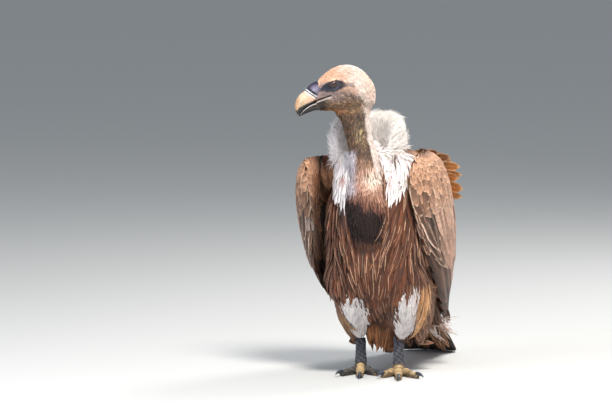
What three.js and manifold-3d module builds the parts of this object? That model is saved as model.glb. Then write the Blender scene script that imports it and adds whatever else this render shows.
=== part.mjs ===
// A griffon vulture standing upright with its wings hanging loosely and its head
// turned to its right. Millimetres, +Z up. The bird faces -Y and its left side is +X.
// The finished model stands on z = 0 with its origin under the middle of its bounding box.
import * as THREE from "three";
import { mergeVertices } from "three/addons/utils/BufferGeometryUtils.js";
import Module from "manifold-3d";

const wasm = await Module();
wasm.setup();

// ---- driving dimensions -------------------------------------------------------------
const seam = 0.3; // gap left between neighbouring pieces
const headTurn = THREE.MathUtils.degToRad(-74); // about the vertical, to the bird's right
const skullCentre = new THREE.Vector3(-41, -70, 568);
const eyeRadius = 9.5;
const eyeSeat = { side: 26, forward: 33, up: 18 }; // eye centre from the skull's centre
const footSpread = 41; // each foot from the middle plane
const toeSink = 1.2; // how much of each pad is pressed flat
const rightWing = { lift: -14, top: 46, middle: 31, tip: 2, trailShare: 0.35 };
const leftWing = { lift: 0, top: 0, middle: 0, tip: 0, trailShare: 0.35 };

// ---- finishes -----------------------------------------------------------------------
const finish = (color, roughness, metalness = 0) =>
  new THREE.MeshStandardMaterial({ color, roughness, metalness });
const finishes = {
  whiteDown: finish("#efe7e2", 0.95),
  headDown: finish("#cdb6a3", 0.9),
  neckDown: finish("#94765a", 0.9),
  bodyFeathers: finish("#7b4f33", 0.85),
  cropFeathers: finish("#4a2f25", 0.9),
  covertFeathers: finish("#a97c62", 0.85),
  flightFeathers: finish("#33241f", 0.75),
  rufousFeathers: finish("#c4732c", 0.8),
  legScales: finish("#5b5a61", 0.6),
  toeScales: finish("#a08a68", 0.65),
  billHorn: finish("#c9ac8c", 0.4),
  cereSkin: finish("#4b4458", 0.45),
  claw: finish("#2b2728", 0.35),
  eye: finish("#3a1d12", 0.1),
};

// ---- shape helpers ------------------------------------------------------------------
// Catmull-Rom through rows of numbers, resampled to `count` rows.
function resample(rows, count) {
  const row = (i) => rows[THREE.MathUtils.clamp(i, 0, rows.length - 1)];
  return Array.from({ length: count }, (_, i) => {
    const t = (i / (count - 1)) * (rows.length - 1);
    const k = Math.min(Math.floor(t), rows.length - 2);
    const f = t - k;
    const [a, b, c, d] = [row(k - 1), row(k), row(k + 1), row(k + 2)];
    return b.map((_, n) => {
      const linear = c[n] - a[n];
      const square = 2 * a[n] - 5 * b[n] + 4 * c[n] - d[n];
      const cube = 3 * b[n] - a[n] - 3 * c[n] + d[n];
      return b[n] + 0.5 * f * (linear + f * (square + f * cube));
    });
  });
}

// A closed skin over rings of equal length, with a point at the middle of each end.
function skinOver(rings) {
  const sides = rings[0].length;
  const mean = (ring) =>
    ring.reduce((sum, p) => sum.add(p), new THREE.Vector3()).divideScalar(sides);
  const points = [...rings.flat(), mean(rings[0]), mean(rings.at(-1))];
  const first = rings.length * sides;
  const faces = [];
  for (let i = 0; i < sides; i++) {
    const next = (i + 1) % sides;
    for (let r = 0; r < rings.length - 1; r++) {
      const [low, high] = [r * sides, (r + 1) * sides];
      faces.push(low + i, low + next, high + next, low + i, high + next, high + i);
    }
    const top = (rings.length - 1) * sides;
    faces.push(first, next, i, first + 1, top + i, top + next);
  }
  const geometry = new THREE.BufferGeometry().setFromPoints(points);
  geometry.setIndex(faces);
  return facingOut(geometry);
}

// Turns the faces round when they enclose a negative volume.
function facingOut(geometry) {
  const at = geometry.getAttribute("position");
  const index = geometry.getIndex();
  const [a, b, c] = [new THREE.Vector3(), new THREE.Vector3(), new THREE.Vector3()];
  let volume = 0;
  for (let i = 0; i < index.count; i += 3) {
    a.fromBufferAttribute(at, index.getX(i));
    b.fromBufferAttribute(at, index.getX(i + 1));
    c.fromBufferAttribute(at, index.getX(i + 2));
    volume += a.dot(b.cross(c));
  }
  if (volume < 0)
    for (let i = 0; i < index.count; i += 3) {
      const kept = index.getX(i + 1);
      index.setX(i + 1, index.getX(i + 2));
      index.setX(i + 2, kept);
    }
  return geometry;
}

// A superellipse ring: `power` 2 is an ellipse, more is squarer.
function ringAt(centre, across, up, halfWidth, halfHeight, sides, power = 2) {
  const bend = (value) => Math.sign(value) * Math.abs(value) ** (2 / power);
  return Array.from({ length: sides }, (_, i) => {
    const angle = (2 * Math.PI * i) / sides;
    return centre
      .clone()
      .addScaledVector(across, halfWidth * bend(Math.cos(angle)))
      .addScaledVector(up, halfHeight * bend(Math.sin(angle)));
  });
}

const xAxis = new THREE.Vector3(1, 0, 0);
const yAxis = new THREE.Vector3(0, 1, 0);
const zAxis = new THREE.Vector3(0, 0, 1);

// Level rings stacked in z. Rows: [z, middle x, half width, front y, back y].
function stack(rows, { count, sides, power }) {
  const rings = resample(rows, count).map(([z, x, halfWidth, front, back]) =>
    ringAt(
      new THREE.Vector3(x, (front + back) / 2, z),
      xAxis, yAxis, Math.max(halfWidth, 0.5), Math.max((back - front) / 2, 0.5), sides, power,
    ),
  );
  return skinOver(rings);
}

// Upright rings along y. Rows: [y, top z, bottom z, half width].
function barrel(rows, { count, sides, power }) {
  const rings = resample(rows, count).map(([y, top, bottom, halfWidth]) =>
    ringAt(
      new THREE.Vector3(0, y, (top + bottom) / 2),
      xAxis, zAxis, Math.max(halfWidth, 0.4), Math.max((top - bottom) / 2, 0.4), sides, power,
    ),
  );
  return skinOver(rings);
}

// Rings square to a path. Rows: [x, y, z, half width, half height]; the width lies along `across`.
function tube(rows, { count, sides, power = 2, across = xAxis }) {
  const made = resample(rows, count);
  const centres = made.map(([x, y, z]) => new THREE.Vector3(x, y, z));
  const rings = made.map(([, , , halfWidth, halfHeight], i) => {
    const ahead = centres[Math.min(i + 1, count - 1)];
    const tangent = ahead.clone().sub(centres[Math.max(i - 1, 0)]).normalize();
    const up = new THREE.Vector3().crossVectors(tangent, across).normalize();
    const side = new THREE.Vector3().crossVectors(up, tangent).normalize();
    return ringAt(centres[i], side, up, Math.max(halfWidth, 0.3), Math.max(halfHeight, 0.3), sides, power);
  });
  return skinOver(rings);
}

// A bowed slab, such as a folded wing, between a leading and a trailing edge.
// Rows: [lead x, y, z, trail x, y, z, bulge, thickness]; it bulges towards `outward`.
function slab(rows, { count, spans, outward, leadPower = 0.35, trailPower = 0.55 }) {
  const made = resample(rows, count);
  const edge = (row, from) => new THREE.Vector3(row[from], row[from + 1], row[from + 2]);
  const middle = (row) => edge(row, 0).add(edge(row, 3)).multiplyScalar(0.5);
  const peakAt = leadPower / (leadPower + trailPower);
  const peak = peakAt ** leadPower * (1 - peakAt) ** trailPower;
  const rings = made.map((row, i) => {
    const along = middle(made[Math.min(i + 1, count - 1)])
      .sub(middle(made[Math.max(i - 1, 0)]))
      .normalize();
    const [lead, trail] = [edge(row, 0), edge(row, 3)];
    const [bulge, thickness] = [row[6], row[7]];
    const face = (u, sign) => {
      const slope = trail.clone().sub(lead).addScaledVector(outward, bulge * 4 * (1 - 2 * u));
      const normal = new THREE.Vector3().crossVectors(slope, along).normalize();
      if (normal.dot(outward) < 0) normal.negate();
      const half = ((thickness / 2) * u ** leadPower * (1 - u) ** trailPower) / peak;
      return lead
        .clone()
        .lerp(trail, u)
        .addScaledVector(outward, bulge * 4 * u * (1 - u))
        .addScaledVector(normal, sign * half);
    };
    const outer = Array.from({ length: spans + 1 }, (_, k) => face(k / spans, 1));
    const inner = Array.from({ length: spans - 1 }, (_, k) => face(1 - (k + 1) / spans, -1));
    return [...outer, ...inner];
  });
  return skinOver(rings);
}

// ---- solids: joining and cutting in the model's own frame -----------------------------
function solidOf(geometry, matrix) {
  const bare = new THREE.BufferGeometry()
    .setAttribute("position", geometry.getAttribute("position").clone())
    .setIndex(geometry.getIndex())
    .applyMatrix4(matrix);
  const merged = mergeVertices(bare, 1e-3);
  return new wasm.Manifold(
    new wasm.Mesh({
      numProp: 3,
      vertProperties: merged.getAttribute("position").array,
      triVerts: new Uint32Array(merged.getIndex().array),
    }),
  );
}

function geometryOf(solid, matrix) {
  const mesh = solid.getMesh();
  return new THREE.BufferGeometry()
    .setAttribute("position", new THREE.BufferAttribute(new Float32Array(mesh.vertProperties), 3))
    .setIndex(new THREE.BufferAttribute(new Uint32Array(mesh.triVerts), 1))
    .applyMatrix4(matrix);
}

// The same shape with its surface moved out by `by`.
function grown(geometry, by) {
  const made = mergeVertices(geometry.clone().deleteAttribute("normal"), 1e-3);
  made.computeVertexNormals();
  const [at, normal] = [made.getAttribute("position"), made.getAttribute("normal")];
  for (let i = 0; i < at.count; i++)
    at.setXYZ(
      i,
      at.getX(i) + normal.getX(i) * by,
      at.getY(i) + normal.getY(i) * by,
      at.getZ(i) + normal.getZ(i) * by,
    );
  return made;
}

const largest = (solid) => solid.decompose().sort((a, b) => b.volume() - a.volume())[0];

// ---- the bird -------------------------------------------------------------------------
const bird = new THREE.Group();
const inOrder = []; // earlier pieces keep their shape, later ones are cut by them
function add(parent, name, geometry, material) {
  const mesh = new THREE.Mesh(geometry, material);
  mesh.name = name;
  parent.add(mesh);
  inOrder.push(mesh);
  return mesh;
}
const sides = { left: 1, right: -1 };

// Head, in its own frame: it faces -Y, the bill hangs forward and down.
const head = new THREE.Group();
head.position.copy(skullCentre);
head.rotation.z = headTurn;
bird.add(head);

for (const [side, sign] of Object.entries(sides)) {
  const eye = new THREE.SphereGeometry(eyeRadius, 8, 6);
  eye.deleteAttribute("normal");
  eye.deleteAttribute("uv");
  const ball = mergeVertices(eye, 1e-3);
  ball.translate(sign * eyeSeat.side, -eyeSeat.forward, eyeSeat.up);
  add(head, `eye_${side}`, ball, finishes.eye);
}

const upperBillRows = [
  // x, y, z, half width, half height: from behind the cere round the hook to its tip
  [0, -58, 7, 16, 15],
  [0, -66, 3, 17, 16.5],
  [0, -80, -9, 15.5, 15.6],
  [0, -91, -17, 14, 15.2],
  [0, -98, -26, 11.5, 12.2],
  [0, -101.5, -35.5, 8.4, 8.6],
  [0, -101.5, -43, 5, 5],
  [0, -99.2, -50.5, 1.4, 1.4],
];
add(
  head, "bill_upper",
  tube(upperBillRows, { count: 12, sides: 10, power: 2.2 }),
  finishes.billHorn,
);
const lowerBillRows = [
  [0, -50, -21, 15, 11.5],
  [0, -59, -24.5, 14.6, 10.8],
  [0, -73, -29.5, 12.4, 7.4],
  [0, -84.5, -35.5, 9.2, 5],
  [0, -94.5, -43, 4, 1.4],
];
add(
  head, "bill_lower",
  tube(lowerBillRows, { count: 7, sides: 8, power: 2.2 }),
  finishes.billHorn,
);
const headRows = [
  // y, top z, bottom z, half width: from the nape to the bill's root
  [50.5, -2, -14, 3],
  [48, 12, -24, 17],
  [41, 25, -32, 26],
  [28, 40, -37, 33],
  [14, 50, -38, 36.2],
  [0, 54.5, -38, 37.4],
  [-14, 55.5, -39, 37],
  [-28, 52, -38.5, 34.6],
  [-42, 44, -37.5, 29],
  [-56, 33, -37.5, 22.5],
  [-66, 23, -37, 18.4],
  [-70, 15, -33, 12],
];
add(head, "head", barrel(headRows, { count: 14, sides: 16, power: 2.15 }), finishes.headDown);

// Neck, from inside the skull down into the chest.
const neckRows = [
  [-27, -64, 552, 22, 24],
  [-27, -66, 531, 25.5, 28.5],
  [-26, -70, 507, 25.5, 27.5],
  [-22, -75, 480, 25.5, 27],
  [-14, -79, 452, 27.5, 28],
  [-6, -80, 424, 31, 31],
  [-3, -74, 396, 34, 33],
];
add(bird, "neck", tube(neckRows, { count: 8, sides: 12 }), finishes.neckDown);

// The crop bulges from the breast below the neck.
const cropRows = [
  // z, middle x, half width, front y, back y
  [266, 4, 8, -112, -92],
  [274, 3, 24, -121, -70],
  [294, 1, 37, -129, -55],
  [325, -1, 43, -132, -45],
  [358, -3, 44, -128, -40],
  [388, -4, 40, -118, -40],
  [412, -5, 33, -107, -45],
  [424, -5, 20, -96, -55],
];
add(bird, "crop", stack(cropRows, { count: 8, sides: 10, power: 2.2 }), finishes.cropFeathers);

// Feathered thighs, tapering to where the bare shank comes out.
for (const [side, sign] of Object.entries(sides)) {
  const thighRows = [
    [225, sign * 58, 30, -75, 10],
    [200, sign * 58, 42, -84, 60],
    [165, sign * 56, 42, -78, 80],
    [130, sign * 53, 37, -62, 78],
    [100, sign * 48, 28, -38, 66],
    [82, sign * 45, 20, -19, 52],
    [70, sign * 43, 13, -5, 38],
    [64, sign * 43, 7, 2, 30],
  ];
  add(bird, `thigh_${side}`, stack(thighRows, { count: 8, sides: 9 }), finishes.whiteDown);
}

const trunkRows = [
  [460, 0, 36, -28, 42],
  [450, 0, 74, -58, 74],
  [427, 0, 92, -84, 98],
  [385, 0, 99, -101, 126],
  [335, 0, 104, -110, 154],
  [280, 0, 107, -112, 184],
  [230, 0, 108, -106, 212],
  [185, 0, 105, -93, 236],
  [145, 0, 98, -70, 250],
  [112, 0, 84, -32, 250],
  [86, 0, 62, 12, 240],
  [68, 0, 36, 62, 215],
  [60, 0, 14, 96, 180],
];
add(bird, "trunk", stack(trunkRows, { count: 14, sides: 18, power: 2.25 }), finishes.bodyFeathers);

// Loose feathers of the vent hang between the legs; the trousers hang outside and behind them.
const ventRows = [
  [170, 0, 42, -40, 120],
  [135, 0, 44, -28, 150],
  [100, 0, 40, 0, 170],
  [65, 0, 32, 30, 160],
  [38, 0, 22, 50, 130],
  [24, 0, 8, 70, 100],
];
add(bird, "vent", stack(ventRows, { count: 6, sides: 9 }), finishes.bodyFeathers);
for (const [side, sign] of Object.entries(sides)) {
  const trouserRows = [
    [190, sign * 86, 22, -40, 90],
    [150, sign * 84, 25, -32, 110],
    [110, sign * 78, 25, -12, 118],
    [76, sign * 71, 20, 16, 112],
    [50, sign * 66, 12, 40, 95],
    [36, sign * 64, 5, 56, 78],
  ];
  add(bird, `trousers_${side}`, stack(trouserRows, { count: 6, sides: 8 }), finishes.bodyFeathers);
}

// The ruff of down stands round the back of the neck, higher on the left.
const ruffRows = [
  // x, y, z, half height, half depth, swept round the neck from its right side to its left
  [-70, -54, 452, 22, 9],
  [-82, -32, 460, 46, 17],
  [-78, 0, 466, 52, 22],
  [-52, 24, 471, 57, 26],
  [-16, 32, 474, 57, 28],
  [16, 22, 473, 58, 28],
  [34, -2, 467, 57, 26],
  [38, -30, 452, 52, 18],
  [32, -52, 434, 30, 9],
];
add(bird, "ruff", tube(ruffRows, { count: 11, sides: 10, across: zAxis }), finishes.whiteDown);

// Wings: [lead x, y, z, trail x, y, z, bulge, thickness] from the wrist down to the tip.
const wingRows = [
  [94, -52, 446, 72, 46, 450, 10, 16],
  [88, -74, 420, 68, 74, 436, 30, 34],
  [86, -76, 376, 62, 106, 402, 44, 40],
  [90, -62, 324, 56, 138, 356, 50, 38],
  [97, -36, 270, 50, 174, 308, 49, 33],
  [105, 4, 214, 44, 212, 254, 41, 27],
  [104, 68, 158, 38, 250, 200, 28, 21],
  [88, 165, 106, 34, 294, 144, 15, 15],
  [64, 288, 58, 32, 356, 84, 7, 10],
  [47, 396, 20, 35, 424, 30, 1, 6],
];
function wingGeometry(sign, hang) {
  const last = wingRows.length - 1;
  const rows = wingRows.map(([leadX, leadY, leadZ, trailX, trailY, trailZ, bulge, thick], i) => {
    const along = i / last;
    const spread =
      along < 0.5
        ? THREE.MathUtils.lerp(hang.top, hang.middle, along * 2)
        : THREE.MathUtils.lerp(hang.middle, hang.tip, along * 2 - 1);
    const drop = hang.lift * (1 - along);
    return [
      sign * (leadX + spread), leadY, leadZ + drop,
      sign * (trailX + spread * hang.trailShare), trailY, trailZ + drop,
      bulge, thick,
    ];
  });
  const outward = new THREE.Vector3(sign, 0, 0.12).normalize();
  return slab(rows, { count: 12, spans: 6, outward });
}
const hangs = { left: leftWing, right: rightWing };
for (const [side, sign] of Object.entries(sides)) {
  const spread = hangs[side].top;
  const armRows = [
    [sign * 52, 2, 432, 20, 20],
    [sign * (78 + spread * 0.4), 14, 424, 27, 26],
    [sign * (88 + spread * 0.75), 34, 396, 27, 30],
    [sign * (88 + spread * 0.75), 62, 356, 22, 28],
    [sign * (80 + spread * 0.6), 90, 318, 10, 12],
  ];
  add(
    bird, `upper_arm_${side}`,
    tube(armRows, { count: 6, sides: 8, across: yAxis }),
    finishes.covertFeathers,
  );
}
for (const [side, sign] of Object.entries(sides))
  add(bird, `wing_${side}`, wingGeometry(sign, hangs[side]), finishes.covertFeathers);

// Scapular feathers fan out behind the wings, raised on the left.
const scapularRows = {
  left: [
    [72, 50, 446, 102, 66, 452, 2, 8],
    [74, 76, 430, 122, 98, 438, 4, 9],
    [76, 96, 410, 134, 120, 410, 5, 10],
    [76, 112, 388, 138, 132, 380, 5, 10],
    [72, 126, 364, 128, 140, 352, 3, 8],
  ],
  right: [
    [-62, 66, 440, -92, 78, 438, 2, 8],
    [-62, 92, 418, -106, 106, 414, 4, 10],
    [-62, 112, 394, -110, 128, 384, 4, 10],
    [-58, 132, 362, -104, 150, 350, 3, 8],
  ],
};
for (const [side, sign] of Object.entries(sides)) {
  const outward = new THREE.Vector3(sign * 0.25, 1, 0.6).normalize();
  add(
    bird, `scapulars_${side}`,
    slab(scapularRows[side], { count: 7, spans: 4, outward, leadPower: 0.4, trailPower: 0.4 }),
    finishes.rufousFeathers,
  );
}

// Tail: [left edge x, y, z, right edge x, y, z, bulge, thickness]; its tip lies on the floor.
const tailRows = [
  [34, 170, 168, 6, 26],
  [42, 225, 124, 6, 20],
  [48, 280, 82, 5, 15],
  [52, 335, 45, 4, 11],
  [54, 380, 18, 3, 8],
  [50, 412, 5, 1.2, 6.5],
  [36, 432, 1.9, 0.3, 5.5],
].map(([half, y, z, bulge, thick]) => [half, y, z, -half, y, z, bulge, thick]);
add(
  bird, "tail",
  slab(tailRows, { count: 9, spans: 4, outward: zAxis, leadPower: 0.4, trailPower: 0.4 }),
  finishes.flightFeathers,
);

// Legs and feet. Angles are in degrees from straight ahead (-Y), outwards positive.
const toes = {
  middle: { angle: 2, length: 92, root: 9.6, end: 6.8, joints: 3 },
  inner: { angle: -30, length: 62, root: 9.2, end: 6.8, joints: 2 },
  outer: { angle: 34, length: 72, root: 8.8, end: 6.2, joints: 4 },
  hallux: { angle: 172, length: 44, root: 8.2, end: 6.4, joints: 1 },
};
const stance = {
  // how far each foot stands ahead, and how far it points to the bird's left, in degrees
  left: { ahead: 4, turn: 13 },
  right: { ahead: -10, turn: 16 },
};
const clawShape = { length: 29, root: 5.4, rise: 14, fall: -50, lift: 8.6 };
const ankleHeight = 21;

// Along one toe: a knuckle at every joint and a pad pressed on the floor.
function toeRows(toe, forward) {
  const count = Math.max(2 * toe.joints + 1, 5);
  return Array.from({ length: count }, (_, i) => {
    const t = i / (count - 1);
    const knuckle = 0.9 * Math.sin(Math.PI * toe.joints * t) ** 2;
    const close = t > 0.94 ? 0.72 : 1;
    const radius = (THREE.MathUtils.lerp(toe.root, toe.end, t) - 0.5 + knuckle) * close;
    const arch = (ankleHeight - toe.root) * Math.max(0, 1 - t * 3.2) ** 1.5;
    const at = forward.clone().multiplyScalar(toe.length * t);
    return [at.x, at.y, Math.max(radius - toeSink, 3) + arch, radius * 1.05, radius];
  });
}

// A claw: an arc that leaves the toe a little upwards and ends pointing at the floor.
function clawRows(toe, forward) {
  const steps = 4;
  const rows = [];
  let [reach, height] = [toe.length - 5, clawShape.lift];
  const step = clawShape.length / steps;
  for (let i = 0; i <= steps; i++) {
    const t = i / steps;
    const radius = clawShape.root * (1 - t) ** 0.75 + 0.45;
    rows.push([forward.x * reach, forward.y * reach, height, radius * 0.85, radius]);
    const slope = THREE.MathUtils.degToRad(THREE.MathUtils.lerp(clawShape.rise, clawShape.fall, t));
    reach += Math.cos(slope) * step;
    height += Math.sin(slope) * step;
  }
  return rows;
}

for (const [side, sign] of Object.entries(sides)) {
  const foot = new THREE.Group();
  foot.position.set(sign * footSpread, -stance[side].ahead, 0);
  foot.rotation.z = THREE.MathUtils.degToRad(stance[side].turn);
  bird.add(foot);
  const shankRows = [
    [0, 1, 12, 10, 9],
    [0, 1, 18, 12.5, 11.5],
    [0, 4, 27, 11.2, 10.6],
    [0, 9, 44, 9.8, 9.6],
    [0, 15, 66, 10.2, 10.2],
    [0, 22, 92, 11, 11],
    [0, 26, 106, 10, 10],
  ];
  add(foot, `shank_${side}`, tube(shankRows, { count: 7, sides: 9 }), finishes.legScales);
  for (const [name, toe] of Object.entries(toes)) {
    const angle = THREE.MathUtils.degToRad(toe.angle) * sign;
    const forward = new THREE.Vector3(Math.sin(angle), -Math.cos(angle), 0);
    const across = new THREE.Vector3().crossVectors(forward, zAxis);
    const rows = toeRows(toe, forward);
    add(
      foot, `toe_${name}_${side}`,
      tube(rows, { count: rows.length, sides: 7, across }),
      finishes.toeScales,
    );
    add(
      foot, `claw_${name}_${side}`,
      tube(clawRows(toe, forward), { count: 5, sides: 5, across }),
      finishes.claw,
    );
  }
}

// ---- fit the pieces to each other --------------------------------------------------------
bird.updateMatrixWorld(true);
const reach = 1400;
const floorBox = new THREE.BoxGeometry(reach, reach, 100).translate(0, 0, -50);
floorBox.deleteAttribute("normal");
floorBox.deleteAttribute("uv");
const floor = solidOf(mergeVertices(floorBox), new THREE.Matrix4());
const cutters = [];
for (const mesh of inOrder) {
  const whole = mesh.geometry;
  let solid = solidOf(whole, mesh.matrixWorld).subtract(floor);
  for (const cutter of cutters) solid = solid.subtract(cutter);
  mesh.geometry = geometryOf(largest(solid), mesh.matrixWorld.clone().invert());
  cutters.push(solidOf(grown(whole, seam), mesh.matrixWorld));
}

// Parts one mesh in two with a thin flat cut through `at`, square to `normal`; the side that
// the normal points to takes `farName`.
function part(mesh, at, normal, farName, farMaterial = mesh.material) {
  const plate = new THREE.BoxGeometry(reach, reach, seam);
  plate.deleteAttribute("normal");
  plate.deleteAttribute("uv");
  const turn = new THREE.Quaternion().setFromUnitVectors(zAxis, normal);
  const place = new THREE.Matrix4().compose(at, turn, new THREE.Vector3(1, 1, 1));
  const cut = solidOf(mesh.geometry, mesh.matrixWorld).subtract(solidOf(mergeVertices(plate), place));
  const beyond = (solid) => {
    const { min, max } = solid.boundingBox();
    const middle = new THREE.Vector3(...min).add(new THREE.Vector3(...max)).multiplyScalar(0.5);
    return middle.sub(at).dot(normal) > 0;
  };
  const bySize = cut.decompose().sort((a, b) => b.volume() - a.volume());
  const back = mesh.matrixWorld.clone().invert();
  const far = new THREE.Mesh(geometryOf(bySize.find(beyond), back), farMaterial);
  far.name = farName;
  mesh.parent.add(far);
  far.updateMatrixWorld(true);
  mesh.geometry = geometryOf(bySize.find((s) => !beyond(s)), back);
  return far;
}

const named = (name) => bird.getObjectByName(name);
const cereFront = new THREE.Vector3(0, -77, -4).applyMatrix4(head.matrixWorld);
const billAhead = new THREE.Vector3(0, -0.78, -0.62).applyEuler(head.rotation).normalize();
const horn = part(named("bill_upper"), cereFront, billAhead, "bill_horn");
named("bill_upper").material = finishes.cereSkin;
named("bill_upper").name = "cere";
horn.name = "bill_upper";
part(named("neck"), new THREE.Vector3(-20, -76, 468), zAxis, "neck_upper", finishes.headDown);
named("neck").name = "neck_lower";
const rumpAxis = new THREE.Vector3(0, 0.62, -0.78).normalize();
part(named("trunk"), new THREE.Vector3(0, 150, 215), rumpAxis, "rump");
for (const [side, sign] of Object.entries(sides)) {
  const wing = named(`wing_${side}`);
  const along = new THREE.Vector3(0, 0.6, -0.8).normalize();
  const flight = part(
    wing, new THREE.Vector3(sign * 120, 70, 262), along, `wing_secondaries_${side}`,
    finishes.flightFeathers,
  );
  wing.name = `wing_coverts_${side}`;
  const towardsLead = new THREE.Vector3(0, -0.72, -0.69).normalize();
  part(flight, new THREE.Vector3(sign * 100, 150, 165), towardsLead, `wing_primaries_${side}`);
}

// ---- stand it on the floor with the origin under the middle of its box --------------------
const box = new THREE.Box3().setFromObject(bird, true);
const middle = box.getCenter(new THREE.Vector3());
bird.position.set(-middle.x, -middle.y, -box.min.z);
const vulture = new THREE.Group();
vulture.add(bird);

export default vulture;
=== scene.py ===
import math

import bpy
import numpy as np
from mathutils import Matrix, Vector
from mathutils.bvhtree import BVHTree


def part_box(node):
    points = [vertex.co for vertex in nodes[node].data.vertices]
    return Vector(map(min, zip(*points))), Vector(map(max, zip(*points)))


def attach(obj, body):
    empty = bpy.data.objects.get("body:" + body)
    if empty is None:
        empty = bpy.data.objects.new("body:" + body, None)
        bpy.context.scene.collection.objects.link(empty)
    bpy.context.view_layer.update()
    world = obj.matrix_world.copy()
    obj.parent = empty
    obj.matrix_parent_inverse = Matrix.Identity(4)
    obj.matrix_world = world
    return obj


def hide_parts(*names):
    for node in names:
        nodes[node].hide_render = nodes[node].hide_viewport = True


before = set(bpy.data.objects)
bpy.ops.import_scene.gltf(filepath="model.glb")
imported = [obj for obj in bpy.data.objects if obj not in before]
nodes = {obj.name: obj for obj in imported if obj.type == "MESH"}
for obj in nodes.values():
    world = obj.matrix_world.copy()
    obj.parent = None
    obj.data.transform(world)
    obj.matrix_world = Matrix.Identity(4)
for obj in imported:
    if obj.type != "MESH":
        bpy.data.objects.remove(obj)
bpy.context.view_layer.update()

# Everything is worked out in millimetres: the bird faces -y, its left side is +x, the floor is z = 0.
skullCentre = np.array([-41.0, -70.0, 568.0])
headTurn = math.radians(-74)
eyeSeat = np.array([26.0, -33.0, 18.0])  # in the head's own frame, on its left side
eyeRadius = 9.5
turnMatrix = np.array(
    [
        [math.cos(headTurn), -math.sin(headTurn), 0],
        [math.sin(headTurn), math.cos(headTurn), 0],
        [0, 0, 1],
    ]
)


def fromHead(points):
    return np.asarray(points, float) @ turnMatrix.T + skullCentre


def toHead(points):
    return (np.asarray(points, float) - skullCentre) @ turnMatrix


eyeLow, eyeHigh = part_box("eye_left")
origin = np.array(eyeLow + eyeHigh) / 2 * 1000 - fromHead(eyeSeat)


# ---- numbers --------------------------------------------------------------------------
def unit(v):
    v = np.asarray(v, float)
    return v / np.maximum(np.linalg.norm(v, axis=-1, keepdims=True), 1e-9)


def ease(low, high, value):  # 0 below low, 1 above high, smooth between
    t = np.clip((np.asarray(value, float) - low) / (high - low), 0, 1)
    return t * t * (3 - 2 * t)


def mix(a, b, t):  # for single numbers, or for colours and directions, which hold three
    a, b, t = (np.asarray(v, float) for v in (a, b, t))
    if t.ndim and 3 in (a.shape[-1:] + b.shape[-1:]):
        t = t[..., None]
    return a * (1 - t) + b * t


def linear(hexCode):  # a web colour as linear light
    value = np.array([int(hexCode[i : i + 2], 16) / 255 for i in (1, 3, 5)])
    return np.where(value <= 0.04045, value / 12.92, ((value + 0.055) / 1.055) ** 2.4)


def resample(rows, count):  # Catmull-Rom through rows of numbers
    rows = np.asarray(rows, float)
    t = np.linspace(0, len(rows) - 1, count)
    k = np.minimum(t.astype(int), len(rows) - 2)
    f = (t - k)[:, None]
    at = [rows[np.clip(k + i, 0, len(rows) - 1)] for i in (-1, 0, 1, 2)]
    cubic = 3 * at[1] - at[0] - 3 * at[2] + at[3]
    square = 2 * at[0] - 5 * at[1] + 4 * at[2] - at[3]
    return at[1] + 0.5 * f * (at[2] - at[0] + f * (square + f * cubic))


def lumps(points, scale, seed):  # slow, smooth, repeatable unevenness between -1 and 1
    rng = np.random.default_rng(seed)
    total = np.zeros(len(points))
    for octave in range(3):
        for _ in range(4):
            wave = rng.normal(size=3) * 2 * math.pi / scale * 2**octave
            total += np.sin(points @ wave + rng.uniform(0, 6.28)) / 2**octave
    return np.clip(total / 3.2, -1, 1)


# ---- meshes ---------------------------------------------------------------------------
def makeMesh(name, points, faces, smooth=True):
    points, faces = np.asarray(points, float), np.asarray(faces, np.int32)
    mesh = bpy.data.meshes.new(name)
    size = faces.shape[1]
    mesh.vertices.add(len(points))
    mesh.vertices.foreach_set("co", ((points + origin) / 1000).ravel())
    mesh.loops.add(faces.size)
    mesh.loops.foreach_set("vertex_index", faces.ravel())
    mesh.polygons.add(len(faces))
    mesh.polygons.foreach_set("loop_start", np.arange(0, faces.size, size, dtype=np.int32))
    mesh.polygons.foreach_set("use_smooth", np.full(len(faces), smooth))
    mesh.update(calc_edges=True)
    made = bpy.data.objects.new(name, mesh)
    bpy.context.scene.collection.objects.link(made)
    return made


def readMesh(obj):  # points in millimetres and triangles
    mesh = obj.data
    mesh.calc_loop_triangles()
    points = np.empty(len(mesh.vertices) * 3)
    mesh.vertices.foreach_get("co", points)
    faces = np.empty(len(mesh.loop_triangles) * 3, np.int32)
    mesh.loop_triangles.foreach_get("vertices", faces)
    return points.reshape(-1, 3) * 1000 - origin, faces.reshape(-1, 3)


def welded(points, faces, step=1e-3):
    _, first, back = np.unique(
        np.round(points / step).astype(np.int64), axis=0, return_index=True, return_inverse=True
    )
    return points[first], back.ravel()[faces]


def joined(parts):
    points, faces, start = [], [], 0
    for p, f in parts:
        points.append(p)
        faces.append(f + start)
        start += len(p)
    return np.vstack(points), np.vstack(faces)


def finishedByModifiers(obj):  # applies what is on the object and hands back points and triangles
    graph = bpy.context.evaluated_depsgraph_get()
    mesh = bpy.data.meshes.new_from_object(obj.evaluated_get(graph))
    obj.modifiers.clear()
    obj.data = mesh
    return readMesh(obj)


def remeshed(points, faces, voxel):
    work = makeMesh("work", points, faces)
    step = work.modifiers.new("even", "REMESH")
    step.mode = "VOXEL"
    step.voxel_size = voxel / 1000
    step.adaptivity = 0
    made = finishedByModifiers(work)
    bpy.data.objects.remove(work)
    return made


def edgePairs(faces):
    return np.unique(np.sort(np.vstack([faces[:, [0, 1]], faces[:, [1, 2]], faces[:, [2, 0]]]), axis=1), axis=0)


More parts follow.
